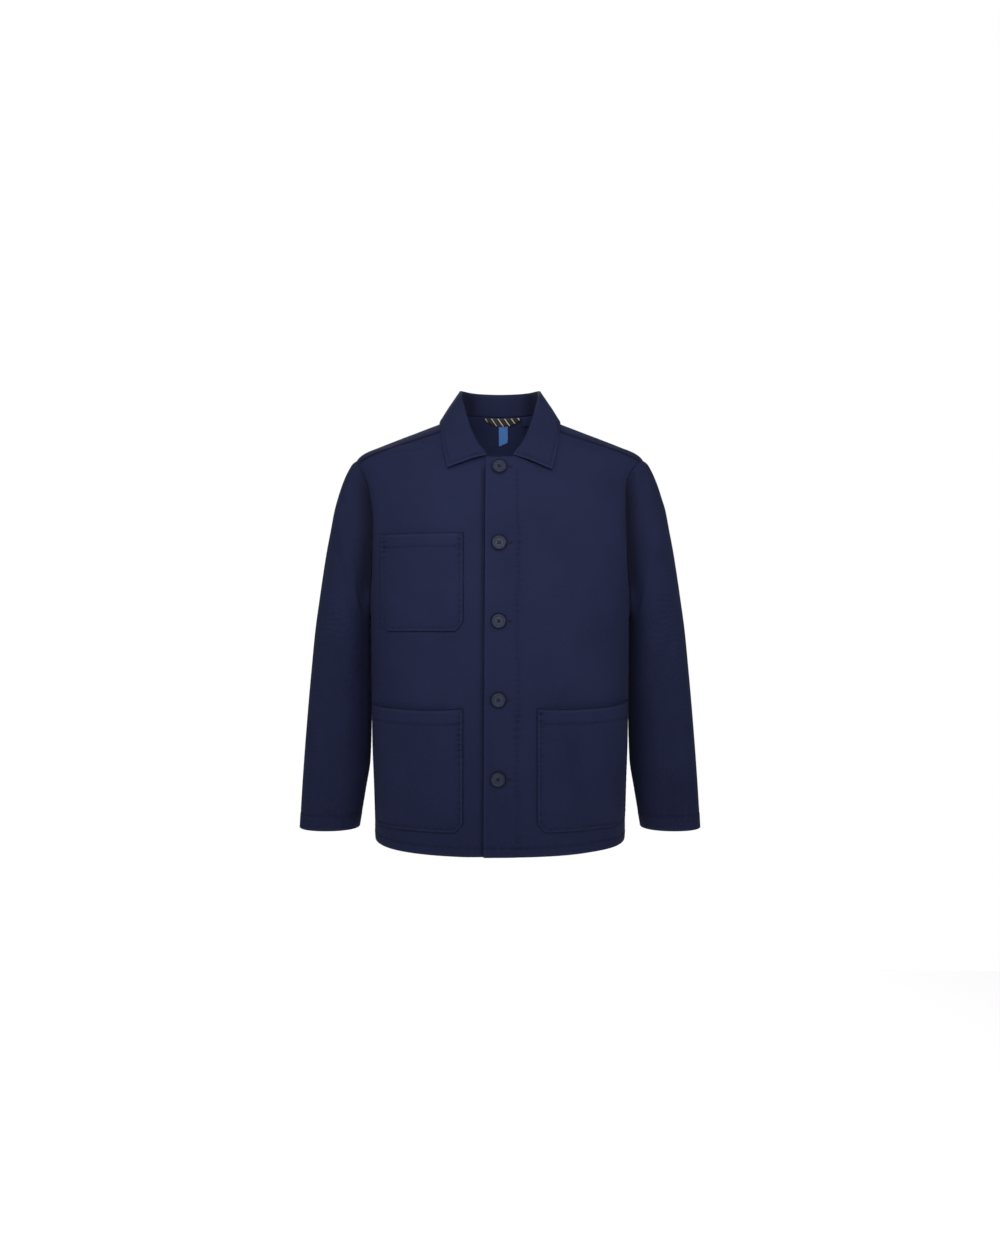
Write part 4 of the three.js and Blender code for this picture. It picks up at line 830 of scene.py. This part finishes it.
for name, side, top, bottom, outer_degrees, hem_depth, slack, sag, mouth_climb in POCKETS:
    z = np.linspace(bottom, top, 1 + round((top - bottom) / 1.8))[:, None]
    inner, outer = angle_at_x(POCKET_INNER_X, z), math.radians(outer_degrees)
    ends = form_point(inner, z), form_point(outer, z)
    chord = np.linalg.norm(ends[0] - ends[1], axis=-1)
    cut = POCKET_CORNER * np.clip(1 - (z - bottom) / POCKET_CORNER, 0, 1) / chord
    share = np.linspace(0, 1, 1 + round(chord.mean() / 1.75))[None, :]
    angle = mix(inner, outer, mix(cut, 1 - cut, share))
    mouth = mouth_climb * share**2.5 - sag * np.sin(math.pi * share**0.85)
    sagged = z + mouth * ((z - bottom) / (top - bottom)) ** 4
    middle, normal = front_surface(side, angle, sagged, TWILL + LAYER_GAP)
    along, up = arc_lengths(middle, 1), arc_lengths(middle, 0)
    cut_mm = cut * chord
    width, height = along[:, -1:], up[-1:, :]
    aslant = math.sqrt(0.5)
    edge = np.minimum(np.minimum(along, width - along) + 0 * up, up)
    corner = np.minimum(along + cut_mm, width - along + cut_mm)
    to_cut = (corner + up - POCKET_CORNER) * aslant
    edge = np.minimum(edge, np.where(up < 2.4 * POCKET_CORNER, to_cut, edge))
    to_top = height - up
    run = np.where(edge >= up - 0.01, along, up)
    relief = 0.55 * (1 - smooth(edge, 4.2, 6.4)) + 0.5 * turned_in(to_top, hem_depth)
    relief = relief + seam_dent(edge - POCKET_SEAM, run, 0.5, 0.7, 6, 9.2, side)
    relief = relief + seam_dent(to_top - hem_depth, along, 0.5, 0.3, 6, 10, 2.0) * smooth(edge, 3, 6)
    relief = relief - 0.4 * near(edge, 1.4) - 0.3 * near(to_top, 1.6)
    body = smooth(edge, 5, 40)
    bag = slack * body * near(to_top, 45) + 1.5 * body
    for x1, z1, x2, z2, fold_width, depth in POCKET_FOLDS[name]:
        way, length = unit(np.array([x2 - x1, z2 - z1], float)), math.hypot(x2 - x1, z2 - z1)
        onward = (along - x1) * way[0] + (up - z1) * way[1]
        aside = (along - x1) * way[1] - (up - z1) * way[0] + 2.5 * np.sin(onward / 17)
        bag = bag - fold_depth(aside, onward, length, fold_width, depth) * smooth(edge, 5, 22)
    bag = np.maximum(bag, 0)
    outline = np.minimum(edge, to_top)
    # A painted highlight on the ridge just inside the pocket's edge, a painted shadow along the edge itself,
    # and painted shade beside the stitches.
    wear_and_painted_shade = 0.55 * near(outline - 3, 1.6) - 0.95 * near(outline, 1.1)
    wear_and_painted_shade = wear_and_painted_shade + seam_shade(edge - POCKET_SEAM, run, 9.2, side, 5, 0.22, 0.36)
    near_ends = smooth(edge, 3, 6) * (1 - 0.65 * smooth(edge, 12, 34))
    wear_and_painted_shade = wear_and_painted_shade + seam_shade(to_top - hem_depth, along, 10, 2.0, 4, 0.4, 0.15) * near_ends
    wear_and_painted_shade = np.clip(wear_and_painted_shade, -1, 1)
    over = TWILL / 2 + relief + bag
    pocket = cloth(name + "_cloth", middle, normal, over, TWILL / 2 - 0.9 * bag, wear_and_painted_shade=wear_and_painted_shade)
    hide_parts(name)
    surface = middle + normal * (over + 0.1)[..., None]
    wide, high = chord.mean(), height.mean()
    far_corner = POCKET_CORNER + (math.sqrt(2) - 1) * POCKET_SEAM
    corners = [(POCKET_SEAM, high - 1), (POCKET_SEAM, far_corner), (far_corner, POCKET_SEAM)]
    corners += [(wide - x, up) for x, up in reversed(corners)]
    hem_line = [(POCKET_SEAM + 1, high - hem_depth), (wide - POCKET_SEAM - 1, high - hem_depth)]
    for line in (corners, hem_line):
        steps = np.arange(0, len(line) - 0.99, 0.02)
        x, up = (np.interp(steps, np.arange(len(line)), np.array(line)[:, i]) for i in range(2))
        row = up / high * (len(z) - 1)
        cut_share = np.interp(row, np.arange(len(z)), cut[:, 0])
        column = (x / wide - cut_share) / (1 - 2 * cut_share) * (share.size - 1)
        pocket_lines.append(on_net(surface, row, column))
sew("pocket_stitches", pocket_lines)

# Sleeves. Each is one tube with a seam under the arm, set into the armhole with a little fullness, and
# hemmed 24 mm deep at the cuff. It hangs down outside the body's side below the armpit.
BESIDE_OUT = TWILL + LAYER_GAP + 0.2
BLEND_SECTIONS = 5
SLEEVE_ROUNDNESS = 2.15
CUFF_HEM = 24
VALLEY_DEPTH = 9  # The sleeve's front falls in this far just below its seam.
SLEEVE_ROWS, SLEEVE_COLUMNS = 200, 136
# Sections of a sleeve: its outer and inner edge, each by x and z, the middle's y, and half the depth.
SLEEVE_SECTIONS = np.array([
    (238, -78, 216, -339, 3, 76),
    (245, -82.5, 217.6, -342, 4, 76),
    (252, -91.5, 218, -345, 5, 76),
    (260, -107, 218, -349, 6, 76),
    (268.5, -130, 218, -354, 8, 76.5),
    (276.4, -158, 218, -361, 9, 77),
    (283, -191, 218, -370, 11, 77),
    (289.5, -224, 218, -382, 12, 77),
    (296, -263, 218, -398, 13, 76),
    (303, -309, 218, -420, 14, 74),
    (310, -359, 218, -448, 14, 71),
    (316, -420, 218, -483, 13, 67),
    (322, -490, 218, -525, 10, 62),
    (327, -561, 219, -575, 5, 56),
    (330.5, -622, 226.5, -628, 0, 51),
    (333.5, -687, 236, -687, -5, 47),
], float).T
SECTION_COUNT = SLEEVE_SECTIONS.shape[1]
# Folds of a sleeve, by the angle round it from its top with the front positive, and by its section.
SLEEVE_FOLDS = {
    1: [(38, 1.0, 62, 2.0, 5, 2.0, 1), (70, 2.2, 28, 4.6, 16, 3, 0), (60, 9.6, 120, 10.6, 20, 3.5, 0),
        (85, 11, 60, 14, 22, 2.5, 0), (-70, 10.6, -130, 11.4, 20, 4, 0), (-60, 8.6, -120, 9.4, 22, 3, 0),
        (62, 1.2, 40, 2.6, 7, 1.6, 2), (100, 8.2, 70, 9.2, 9, 1.2, 3), (64, 10.8, 110, 11.3, 9, 1.4, 3),
        (50, 12.2, 96, 12.9, 10, 1.0, 3), (-50, 11.8, -110, 12.3, 10, 1.5, 3),
        (-70, 9.6, -130, 10.2, 10, 1.6, 3)],
    -1: [(76, 3, 52, 6, 20, 2.5, 0), (64, 9.9, 124, 10.7, 20, 3, 0), (70, 11.2, 96, 14.2, 24, 3, 0),
         (-66, 10.4, -126, 11.5, 20, 4, 0), (-50, 8.4, -118, 9.2, 22, 3, 0), (66, 1.4, 44, 2.8, 7, 1.2, 2),
         (96, 8.6, 66, 9.4, 9, 1.1, 3), (60, 11.0, 112, 11.6, 9, 1.3, 3), (54, 12.4, 92, 13.0, 10, 1.0, 3),
         (-52, 11.6, -112, 12.2, 10, 1.5, 3), (-66, 9.4, -128, 10.0, 10, 1.6, 3)],
}
TURN_MM, SECTION_MM = 60, 45


def sleeve_oval(side, t, turn):
    """A place on a sleeve's plain form, by section and by turn from its top with the front positive."""
    outer_x, outer_z, inner_x, inner_z, middle_y, half_depth = (
        read(np.arange(SECTION_COUNT), measure, t) for measure in SLEEVE_SECTIONS)
    power = 2 / SLEEVE_ROUNDNESS
    along = np.sign(np.cos(turn)) * abs(np.cos(turn)) ** power
    across = np.sign(np.sin(turn)) * abs(np.sin(turn)) ** power
    share = (along + 1) / 2
    x, z = mix(inner_x, outer_x, share), mix(inner_z, outer_z, share)
    return np.stack(np.broadcast_arrays(side * x, middle_y - across * half_depth, z), axis=-1)


sleeve_lines = []
for name, side in (("sleeve_left", 1), ("sleeve_right", -1)):
    turn = np.linspace(0, 2 * math.pi, SLEEVE_COLUMNS + 1)[None, :-1]
    turned = np.degrees(np.abs(np.arctan2(np.sin(turn), np.cos(turn))))
    outer_edge = np.hypot(np.diff(SLEEVE_SECTIONS[0]), np.diff(SLEEVE_SECTIONS[1]))
    ruler = np.concatenate([[0], np.cumsum(outer_edge)])
    t = np.interp(np.linspace(0, ruler[-1], SLEEVE_ROWS), ruler, np.arange(SECTION_COUNT))[:, None]
    edge_point, edge_normal = body_place(*armhole_place(side, turn))
    into = edge_point.mean(axis=(0, 1)) - edge_point
    into = unit(into - (into * edge_normal).sum(-1, keepdims=True) * edge_normal)
    beside = BESIDE_OUT * smooth(turned, 68, 112)
    tip = TIP_FILL * near(edge_point[..., 2] - SHOULDER_Z, TIP_DOWN)
    out = beside + tip - armhole_dip(side, turn)
    start = edge_point + into * (SEAM_GAP + 0.1) + edge_normal * out[..., None]
    shift = (start - sleeve_oval(side, 0 * turn, turn)) * (1 - smooth(t, 0, BLEND_SECTIONS))[..., None]
    plain = sleeve_oval(side, t, turn) + shift
    round_ = np.roll(plain, -1, axis=1) - np.roll(plain, 1, axis=1)
    normal = unit(np.cross(round_, np.gradient(plain, axis=0)))
    outwards = plain - plain.mean(axis=1, keepdims=True)
    normal = normal * np.sign((normal * outwards).sum(-1, keepdims=True))
    normal = unit(mix(edge_normal, normal, smooth(t, 0, 1)[..., None]))
    sunk = folds_at(SLEEVE_FOLDS[side], *np.broadcast_arrays(turn, t), TURN_MM, SECTION_MM)
    in_front = smooth(turned, 22, 62) * (1 - smooth(turned, 112, 150))
    from_top = arc_lengths(plain, 0)
    valley = VALLEY_DEPTH * in_front * smooth(from_top, 0, 8) * (1 - smooth(from_top, 8, 48))
    middle = plain - normal * (sunk * smooth(t, 0, 0.9) + valley)[..., None]
    from_top = arc_lengths(middle, 0)
    from_cuff = from_top[-1:] - from_top
    girth = turn * TURN_MM
    from_underarm = np.abs(turn - math.pi) * TURN_MM
    relief = DOUBLED * turned_in(from_cuff, CUFF_HEM)
    relief = relief + seam_dent(from_cuff - CUFF_HEM, girth, 0.5, 0.35, 8, 11, side)
    relief = relief + seam_dent(from_underarm, from_top, 0.6, 0.3, 8, 10, 1) * smooth(from_top, 0, 10)
    fullness = np.where(np.cos(turn) > 0, 0.5, 0.2) * near(from_top - 9, 7)
    off_tip = smooth(turned, 15, 40)
    set_in = 0.4 * near(from_top, SEAM_EDGE) * off_tip
    relief = relief + fullness * (1 + 0.35 * np.sin(girth / 5)) * (0.4 + 0.6 * off_tip) - set_in
    # Pale along the folded cuff, partly rubbed nap and partly painted highlight; painted shade beside the
    # cuff stitches, in the valley at the front of the armhole, over the sides and underside of the sleeve,
    # and along the set-in seam.
    wear_and_painted_shade = 0.4 * near(from_cuff, FOLDED_EDGE)
    wear_and_painted_shade = wear_and_painted_shade + seam_shade(from_cuff - CUFF_HEM, girth, 11, side, 6, 0.12, 0.16)
    wear_and_painted_shade = wear_and_painted_shade - in_front * (0.8 * (1 - smooth(from_top, 4, 38)) + 0.2 * (1 - smooth(from_top, 20, 70)))
    wear_and_painted_shade = wear_and_painted_shade - 0.22 * smooth(turned, 40, 95)
    wear_and_painted_shade = np.clip(wear_and_painted_shade - set_in, -1, 1)
    sleeve = cloth(name + "_cloth", middle, normal, TWILL / 2 + relief, TWILL / 2, wear_and_painted_shade=wear_and_painted_shade, closed=True)
    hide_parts(name)
    surface = middle + normal * (TWILL / 2 + relief + 0.1)[..., None]
    ring = trace(surface, from_top, from_top[-1] - CUFF_HEM, 0)
    sleeve_lines.append(np.concatenate([ring, ring[:1]]))
sew("sleeve_stitches", sleeve_lines)

# Collar. One doubled piece: a stand rises from the neck seam, folds over tightly, and the fall lies out on
# the shoulders. Its edge is stitched 5 mm inside, and its two points lie on the fronts.
COLLAR_THICKNESS = 2.2
STAND_COLUMNS, FOLD_COLUMNS, FALL_COLUMNS = 15, 9, 26
COLLAR_FOLD_RADIUS = 1.8
COLLAR_LIFT = 1.6
COLLAR_EDGE_SEAM = 5
COLLAR_FREE_LIFT = 3.2
RIGHT_POINT_OUT, RIGHT_POINT_UP, RIGHT_POINT_FADES = 1.5, 4, 1.6
# The collar's fold and outer edge, each by x, y and z, from the front end (0) to centre back (8) and past it.
COLLAR_STATIONS = np.array([
    (22, -97, -80, 82, -112, -104),
    (37, -83, -59, 87, -104, -84),
    (49, -67, -30, 92, -92, -62),
    (58, -46, 2, 95, -70, -40),
    (64, -20, 30, 97, -38, -24),
    (64, 12, 43, 95, 6, -14),
    (56, 46, 49, 86, 54, -14),
    (34, 69, 51, 52, 88, -12),
    (0, 79, 52, 0, 100, -9),
    (-34, 69, 51, -52, 88, -12),
], float).T


def outside_form(points):
    """How far points are outside the body's form, and the way out."""
    def value(x, y, z):
        half, front, back, square = body_section(z)
        return (abs(x / half) ** square + abs(y / np.where(y < 0, front, back)) ** square) ** (1 / square)

    step = 0.5
    x, y, z = np.moveaxis(points, -1, 0)
    slope = np.stack([
        value(x + step, y, z) - value(x - step, y, z),
        value(x, y + step, z) - value(x, y - step, z),
        value(x, y, z + step) - value(x, y, z - step),
    ], axis=-1) / (2 * step)
    steep = np.linalg.norm(slope, axis=-1)
    return (value(x, y, z) - 1) / steep, slope / steep[..., None]


def neck_place(u):
    """A place on the neck seam from the collar's front end (0) past the shoulder (4) to centre back (8)."""
    front_z = np.interp(np.minimum(u, 4) * 7 / 4, np.arange(8), NECKLINE_Z)
    share = np.clip(2 - u / 4, 0, 1)
    z = np.where(u <= 4, front_z, mix(NAPE_Z, NECK_SEAM_Z, share**NAPE_CURVE))
    behind = mix(math.pi, seam_angle(NECK_SEAM_Z), share)
    return body_place(np.where(u <= 4, angle_at_x(neck_x(front_z), front_z), behind), z)


u = np.linspace(0, 8, 112)
neck, neck_normal = neck_place(u)
along = np.gradient(neck, axis=0)
along[-1] = (-1, 0, 0)
collar_lines = np.stack([read(np.arange(10), measure, u) for measure in COLLAR_STATIONS], axis=-1)
fold_line, edge_line = collar_lines[:, :3], collar_lines[:, 3:]
rise = unit(fold_line - neck)
into_hole = unit(np.cross(neck_normal, along))
lean = abs((rise * neck_normal).sum(-1, keepdims=True))
foot = neck + into_hole * (SEAM_GAP + 0.2 + (COLLAR_THICKNESS + TWILL) / 2 * lean)
clear = (COLLAR_THICKNESS + TWILL) / 2 + COLLAR_LIFT
up = unit(fold_line - foot)
out = unit(neck_normal - (neck_normal * up).sum(-1, keepdims=True) * up)
centre = fold_line + COLLAR_FOLD_RADIUS * (out - up)
stand_top = centre - COLLAR_FOLD_RADIUS * out
halves = []
for side in (1, -1):
    pulled = 0 if side > 0 else (1 - smooth(u, 0, RIGHT_POINT_FADES))[:, None]
    edge = edge_line + np.array([RIGHT_POINT_OUT, 0, RIGHT_POINT_UP]) * pulled
    for _ in range(6):
        distance, way = outside_form(edge)
        edge = edge + way * (clear - distance)[..., None]
    columns = [mix(foot, stand_top, s) for s in np.linspace(0, 1, STAND_COLUMNS + 1)[:-1]]
    for turn in np.linspace(0, math.pi, FOLD_COLUMNS):
        columns.append(centre + COLLAR_FOLD_RADIUS * (up * math.sin(turn) - out * math.cos(turn)))
    turned_over = columns[-1]
    free = (1 - smooth(u, 0.3, 2.4))[:, None]
    for share in np.linspace(0, 1, FALL_COLUMNS + 1)[1:]:
        point = mix(turned_over, edge, share)
        stands = 4.5 * share * (1 - share) + COLLAR_FREE_LIFT * free * smooth(share, 0, 0.4)
        point = point + outside_form(point)[1] * stands
        distance, way = outside_form(point)
        columns.append(point + way * np.maximum(0, clear - distance)[..., None])
    halves.append(np.stack(columns, axis=1) * np.array([side, 1, 1]))
left_half, right_half = halves
middle = np.concatenate([left_half, right_half[-2::-1]])
normal = unit(np.cross(np.gradient(middle, axis=1), np.gradient(middle, axis=0)))
centre_row = len(left_half) - 1
if (normal[centre_row, -1] * np.array([0, 1, 0.2])).sum() < 0:
    normal = -normal
from_end, from_foot = arc_lengths(middle, 0), arc_lengths(middle, 1)
to_edge = from_foot[:, -1:] - from_foot
to_end = np.minimum(from_end, from_end[-1:] - from_end)
fold_start, fold_top = (from_foot[:, STAND_COLUMNS + k, None] for k in (1, FOLD_COLUMNS // 2))
fall = smooth(from_foot - fold_start, 2, 8)
edge = np.minimum(to_edge, np.where(fall > 0, to_end, 99))
round_edge = from_end + from_foot
relief = 0.35 * (1 - smooth(edge, 3.6, 5.6))
relief = relief + seam_dent(edge - COLLAR_EDGE_SEAM, round_edge, 0.4, 0.2, 6, 9, 0.5)
relief = fall * relief - 0.35 * near(edge, 1.4)
stand = 1 - smooth(from_foot - fold_start, -8, 2)
# Pale along the edge and at the top of the fold, partly rubbed nap and partly painted highlight; painted
# shade beside the edge stitches and on the stand under the fall, most about 52 mm to each side of the middle.
wear_and_painted_shade = 0.45 * near(edge, 2.0) + 0.3 * near(from_foot - fold_top, 3)
wear_and_painted_shade = wear_and_painted_shade + fall * seam_shade(edge - COLLAR_EDGE_SEAM, round_edge, 9, 0.5, 3.5, 0.2, 0.2)
wear_and_painted_shade = np.clip(wear_and_painted_shade, -1, 1) - stand * (0.3 + 0.5 * near(np.abs(middle[..., 0]) - 52, 10))
wear_and_painted_shade = np.clip(wear_and_painted_shade, -1, 1)
collar = cloth("collar_cloth", middle, normal, COLLAR_THICKNESS / 2 + relief, COLLAR_THICKNESS / 2, wear_and_painted_shade=wear_and_painted_shade)
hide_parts("collar")
surface = middle + normal * (COLLAR_THICKNESS / 2 + relief + 0.2)[..., None]
collar_lines = [trace(surface, from_foot, from_foot[:, -1] - COLLAR_EDGE_SEAM)[4:-4]]
for ends in (surface, surface[::-1]):
    reach = arc_lengths(ends, 0)
    line = trace(ends[:20], reach[:20], COLLAR_EDGE_SEAM, 0)
    collar_lines.append(line[22:-4])
sew("collar_stitches", collar_lines)

# Buttons. Five four-hole buttons of slate-navy moulded resin, 21.6 mm across, with a raised round rim and
# a dished middle, sewn through the right front with navy thread crossed over the middle.
BUTTON_HOLE_RADIUS = 1.1
BUTTON_HOLE_PLACE = 2.0
BUTTON_PROFILE = [  # Radius and height, from the middle of the back round the rim to the middle of the face.
    (0, 0), (5, 0), (9.2, 0), (10.0, 0.25), (10.5, 0.8), (10.8, 1.6), (10.75, 2.3), (10.4, 2.9), (9.9, 3.25),
    (9.3, 3.4), (8.6, 3.35), (8.0, 3.05), (7.55, 2.6), (7.2, 2.25), (6.8, 2.15), (6.3, 2.3), (5, 2.35),
    (0, 2.3),
]
BUTTON_SIDES = 56

resin = mottled("slate navy moulded resin", "#1a1f30", "#23283b", 160.0, 0.6, 0.25, 3.0, 0.6)


def circle(radius, height, sides, centre=(0, 0)):
    return [(centre[0] + radius * math.cos(2 * math.pi * i / sides),
             centre[1] + radius * math.sin(2 * math.pi * i / sides), height) for i in range(sides)]


bare = [circle(radius, height, BUTTON_SIDES if radius else 1) for radius, height in BUTTON_PROFILE]
starts = np.concatenate([[0], np.cumsum([len(ring) for ring in bare])]).tolist()
faces = []
for lower, upper, a, b in zip(bare, bare[1:], starts, starts[1:]):
    for i in range(BUTTON_SIDES):
        n = (i + 1) % BUTTON_SIDES
        if len(lower) == 1:
            faces.append((a, b + n, b + i))
        elif len(upper) == 1:
            faces.append((a + i, a + n, b))
        else:
            faces.append((a + i, a + n, b + n, b + i))
blank_mesh = bpy.data.meshes.new("button_blank")
blank_mesh.from_pydata([point for ring in bare for point in ring], [], faces)
blank = add("button_blank", blank_mesh)
drill_points, drill_faces = [], []
DRILL_SIDES = 16
for sx, sy in ((1, 1), (1, -1), (-1, -1), (-1, 1)):
    low = list(range(len(drill_points), len(drill_points) + DRILL_SIDES))
    high = [i + DRILL_SIDES for i in low]
    for height in (-2, 6):
        centre = sx * BUTTON_HOLE_PLACE, sy * BUTTON_HOLE_PLACE
        drill_points += circle(BUTTON_HOLE_RADIUS, height, DRILL_SIDES, centre)
    drill_faces += [low[::-1], high]
    drill_faces += zip(low, low[1:] + low[:1], high[1:] + high[:1], high)
drill_mesh = bpy.data.meshes.new("button_drills")
drill_mesh.from_pydata(drill_points, [], drill_faces)
drills = add("button_drills", drill_mesh)
drilling = blank.modifiers.new("holes", "BOOLEAN")
drilling.operation = "DIFFERENCE"
drilling.solver = "EXACT"
drilling.object = drills
button_mesh = bpy.data.meshes.new_from_object(blank.evaluated_get(bpy.context.evaluated_depsgraph_get()))
bpy.data.objects.remove(blank)
bpy.data.objects.remove(drills)
button_points = np.zeros(len(button_mesh.vertices) * 3)
button_mesh.vertices.foreach_get("co", button_points)
button_points = button_points.reshape(-1, 3)


def strand(name, paths, thickness, material):
    """Round threads along each path."""
    def thicken(line):
        line.data.bevel_depth = thickness / 2000
        line.data.bevel_resolution = 2
        line.data.use_fill_caps = True

    mesh = drawn_along(name, paths, thicken)
    mesh.materials.clear()
    mesh.materials.append(material)
    mesh.polygons.foreach_set("use_smooth", np.ones(len(mesh.polygons), bool))


THREAD_ARCH = [(2.0, 0.6), (1.85, 2.2), (1.2, 2.75), (0, 3.0), (-1.2, 2.75), (-1.85, 2.2), (-2.0, 0.6)]
button_frames, crossed = [], []
for i in range(5):
    z = TOP_BUTTON_Z - i * BUTTON_SPACING
    off_cloth = TWILL / 2 + SEAM_GAP + 0.15
    point, normal = front_surface(1, angle_at_x(button_line_x(z), z), np.array(z), off_cloth)
    aside = unit(np.cross(np.array([0.0, 0, 1]), normal))
    upward = np.cross(normal, aside)
    c, s = math.cos(0.12 * math.sin(2.1 * i)), math.sin(0.12 * math.sin(2.1 * i))
    axes = np.array([aside * c + upward * s, upward * c - aside * s, normal])
    mesh = button_mesh.copy()
    mesh.name = f"button_{i + 1}_resin"
    mesh.vertices.foreach_set("co", ((button_points @ axes + point) / 1000).ravel())
    mesh.materials.clear()
    mesh.materials.append(resin)
    mesh.shade_smooth()
    mesh.set_sharp_from_angle(angle=math.radians(50))
    made = add(mesh.name, mesh)
    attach(made, "root")
    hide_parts(f"button_{i + 1}")
    button_frames.append((point, axes, z))
    for sx in (1, -1):
        for offset in (-0.3, 0.3):
            crossed.append([(x + offset * sx, x * sx - offset, h) @ axes + point for x, h in THREAD_ARCH])
strand("button_thread", crossed, 0.75, navy_thread)

# Buttonholes. Each is a slit in the left front from just past the button's middle towards the wearer's
# left, edged with close stitches and barred at its end. Its thread is drawn twice as thick as it is.
# Each slit is drawn as a thin near-black strand: painted shade inside the slit.
slit_painted_shade = mottled("shaded inside of a buttonhole", "#06070d", "#0c0e18", 400.0, 1.0)
BUTTONHOLE_FROM, BUTTONHOLE_TO, BUTTONHOLE_HALF, BUTTONHOLE_BAR_HALF = 2.0, 19.0, 1.1, 1.7
slits, edgings = [], []


def on_front(middle_z, dx, dz, lift):
    """A place on the left front by how far it is from the middle of the button at a height."""
    x = button_line_x(middle_z) + dx
    z = middle_z + dz
    return front_surface(1, angle_at_x(x, z), np.array(z), TWILL / 2 + 0.45 + lift)[0]


for _, _, z in button_frames:
    slits.append([on_front(z, dx, 0, 0.1) for dx in np.linspace(BUTTONHOLE_FROM, BUTTONHOLE_TO - 1, 9)])
    for dz, ends in ((BUTTONHOLE_HALF, (BUTTONHOLE_FROM, BUTTONHOLE_TO)),
                     (-BUTTONHOLE_HALF, (BUTTONHOLE_TO, BUTTONHOLE_FROM))):
        edgings.append([on_front(z, dx, dz, 0.1) for dx in np.linspace(*ends, 10)])
    bar = np.linspace(-BUTTONHOLE_BAR_HALF, BUTTONHOLE_BAR_HALF, 4)
    edgings.append([on_front(z, BUTTONHOLE_TO + 0.4, dz, 0.25) for dz in bar])
strand("buttonhole_slits", slits, 1.1, slit_painted_shade)
sew("buttonhole_edges", edgings, pitch=0.95, length=1.9, thread=0.75, crosswise=True)

# Tapes in the neck, sewn into the seam under the collar on the back's inside: a hanger loop of black tape
# with pale gold slanting stripes, a folded blue woven label that is left plain, and a plain navy tab.
TAPE = 1.0


def neck_tape(name, node_name, path, width, deep, material, steps=6):
    """A tape along a path of places (x, z, tilt of its width) on the back's inner face, `deep` mm off it."""
    x, z, tilt = np.array(path, float).T
    j = np.linspace(-0.5, 0.5, steps + 1)[None, :] * np.reshape(width, (-1, 1))
    x, z = x[:, None] + j * np.cos(tilt)[:, None], z[:, None] + j * np.sin(tilt)[:, None]
    middle, normal = body_place(angle_at_x(x, z, True), z, -(TWILL / 2 + deep + TAPE / 2))
    made = cloth(name, middle, normal, TAPE / 2, TAPE / 2, material=material)
    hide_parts(node_name)
    return made


STRIPE_PITCH = 0.0114  # Metres from stripe to stripe, level along the tape.
striped, striped_tree, striped_surface = surface_material(
    "black woven tape with slanting stripes", {"Roughness": 0.7})
stripe_place = node(striped_tree, "ShaderNodeTexCoord")
stripe_axes = node(striped_tree, "ShaderNodeSeparateXYZ", inputs={"Vector": stripe_place.outputs["Object"]})
stripe_slant = node(striped_tree, "ShaderNodeMath", {"operation": "MULTIPLY_ADD"}, {
    0: stripe_axes.outputs["Z"], 1: 0.75, 2: stripe_axes.outputs["X"]})
stripe_turn = node(striped_tree, "ShaderNodeMath", {"operation": "MULTIPLY"}, {
    0: stripe_slant, 1: 2 * math.pi / STRIPE_PITCH})
stripe_wave = node(striped_tree, "ShaderNodeMath", {"operation": "SINE"}, {0: stripe_turn})
stripe_edge = node(striped_tree, "ShaderNodeMapRange", inputs={
    "Value": stripe_wave, "From Min": 0.88, "From Max": 0.97})
stripe_colour = node(striped_tree, "ShaderNodeMixRGB", inputs={
    "Fac": stripe_edge, "Color1": colour("#121216"), "Color2": colour("#c4bda6")})
stripe_weave = node(striped_tree, "ShaderNodeTexNoise", inputs={
    "Vector": stripe_place.outputs["Object"], "Scale": 900.0})
stripe_bump = node(striped_tree, "ShaderNodeBump", inputs={
    "Height": stripe_weave, "Strength": 0.5, "Distance": 0.0004})
striped_tree.links.new(stripe_colour.outputs[0], striped_surface.inputs["Base Color"])
striped_tree.links.new(stripe_bump.outputs[0], striped_surface.inputs["Normal"])

blue = mottled(
    "blue woven tape", "#22508f", "#4472ae", 800.0, 0.55, detail=3.0, bump=(0.5, 0.0004), sheen=0.2)

along = np.linspace(-1, 1, 49)
loop_height = 1.2 + 11.3 * (1 - along**2) ** 0.7
loop_path = [(5.2 + 32 * s, 9.5 - h / 2, math.pi / 2) for s, h in zip(along, loop_height)]
loop_deep = 3 * LAYER_GAP + TAPE + 0.2
hanger_loop = neck_tape(
    "hanger_loop_tape", "hanger_loop", loop_path, loop_height, loop_deep, striped)
label_path = [(5.6 + 0.3 * math.sin(s * 3), 6 - 38.5 * s, 0.38 * s**4) for s in np.linspace(0, 1, 25)]
label = neck_tape("woven_label_tape", "woven_label", label_path, 15.4, 2 * LAYER_GAP, blue, 10)

satin = mottled("navy satin tape", "#191f3c", "#252c4f", 900.0, 0.45, bump=(0.4, 0.0003))
tab_path = [(47.5, 8.5 - 13 * s, 0.0) for s in np.linspace(0, 1, 9)]
tab = neck_tape("size_tab_tape", "size_tab", tab_path, 16, 4 * LAYER_GAP, satin, 6)
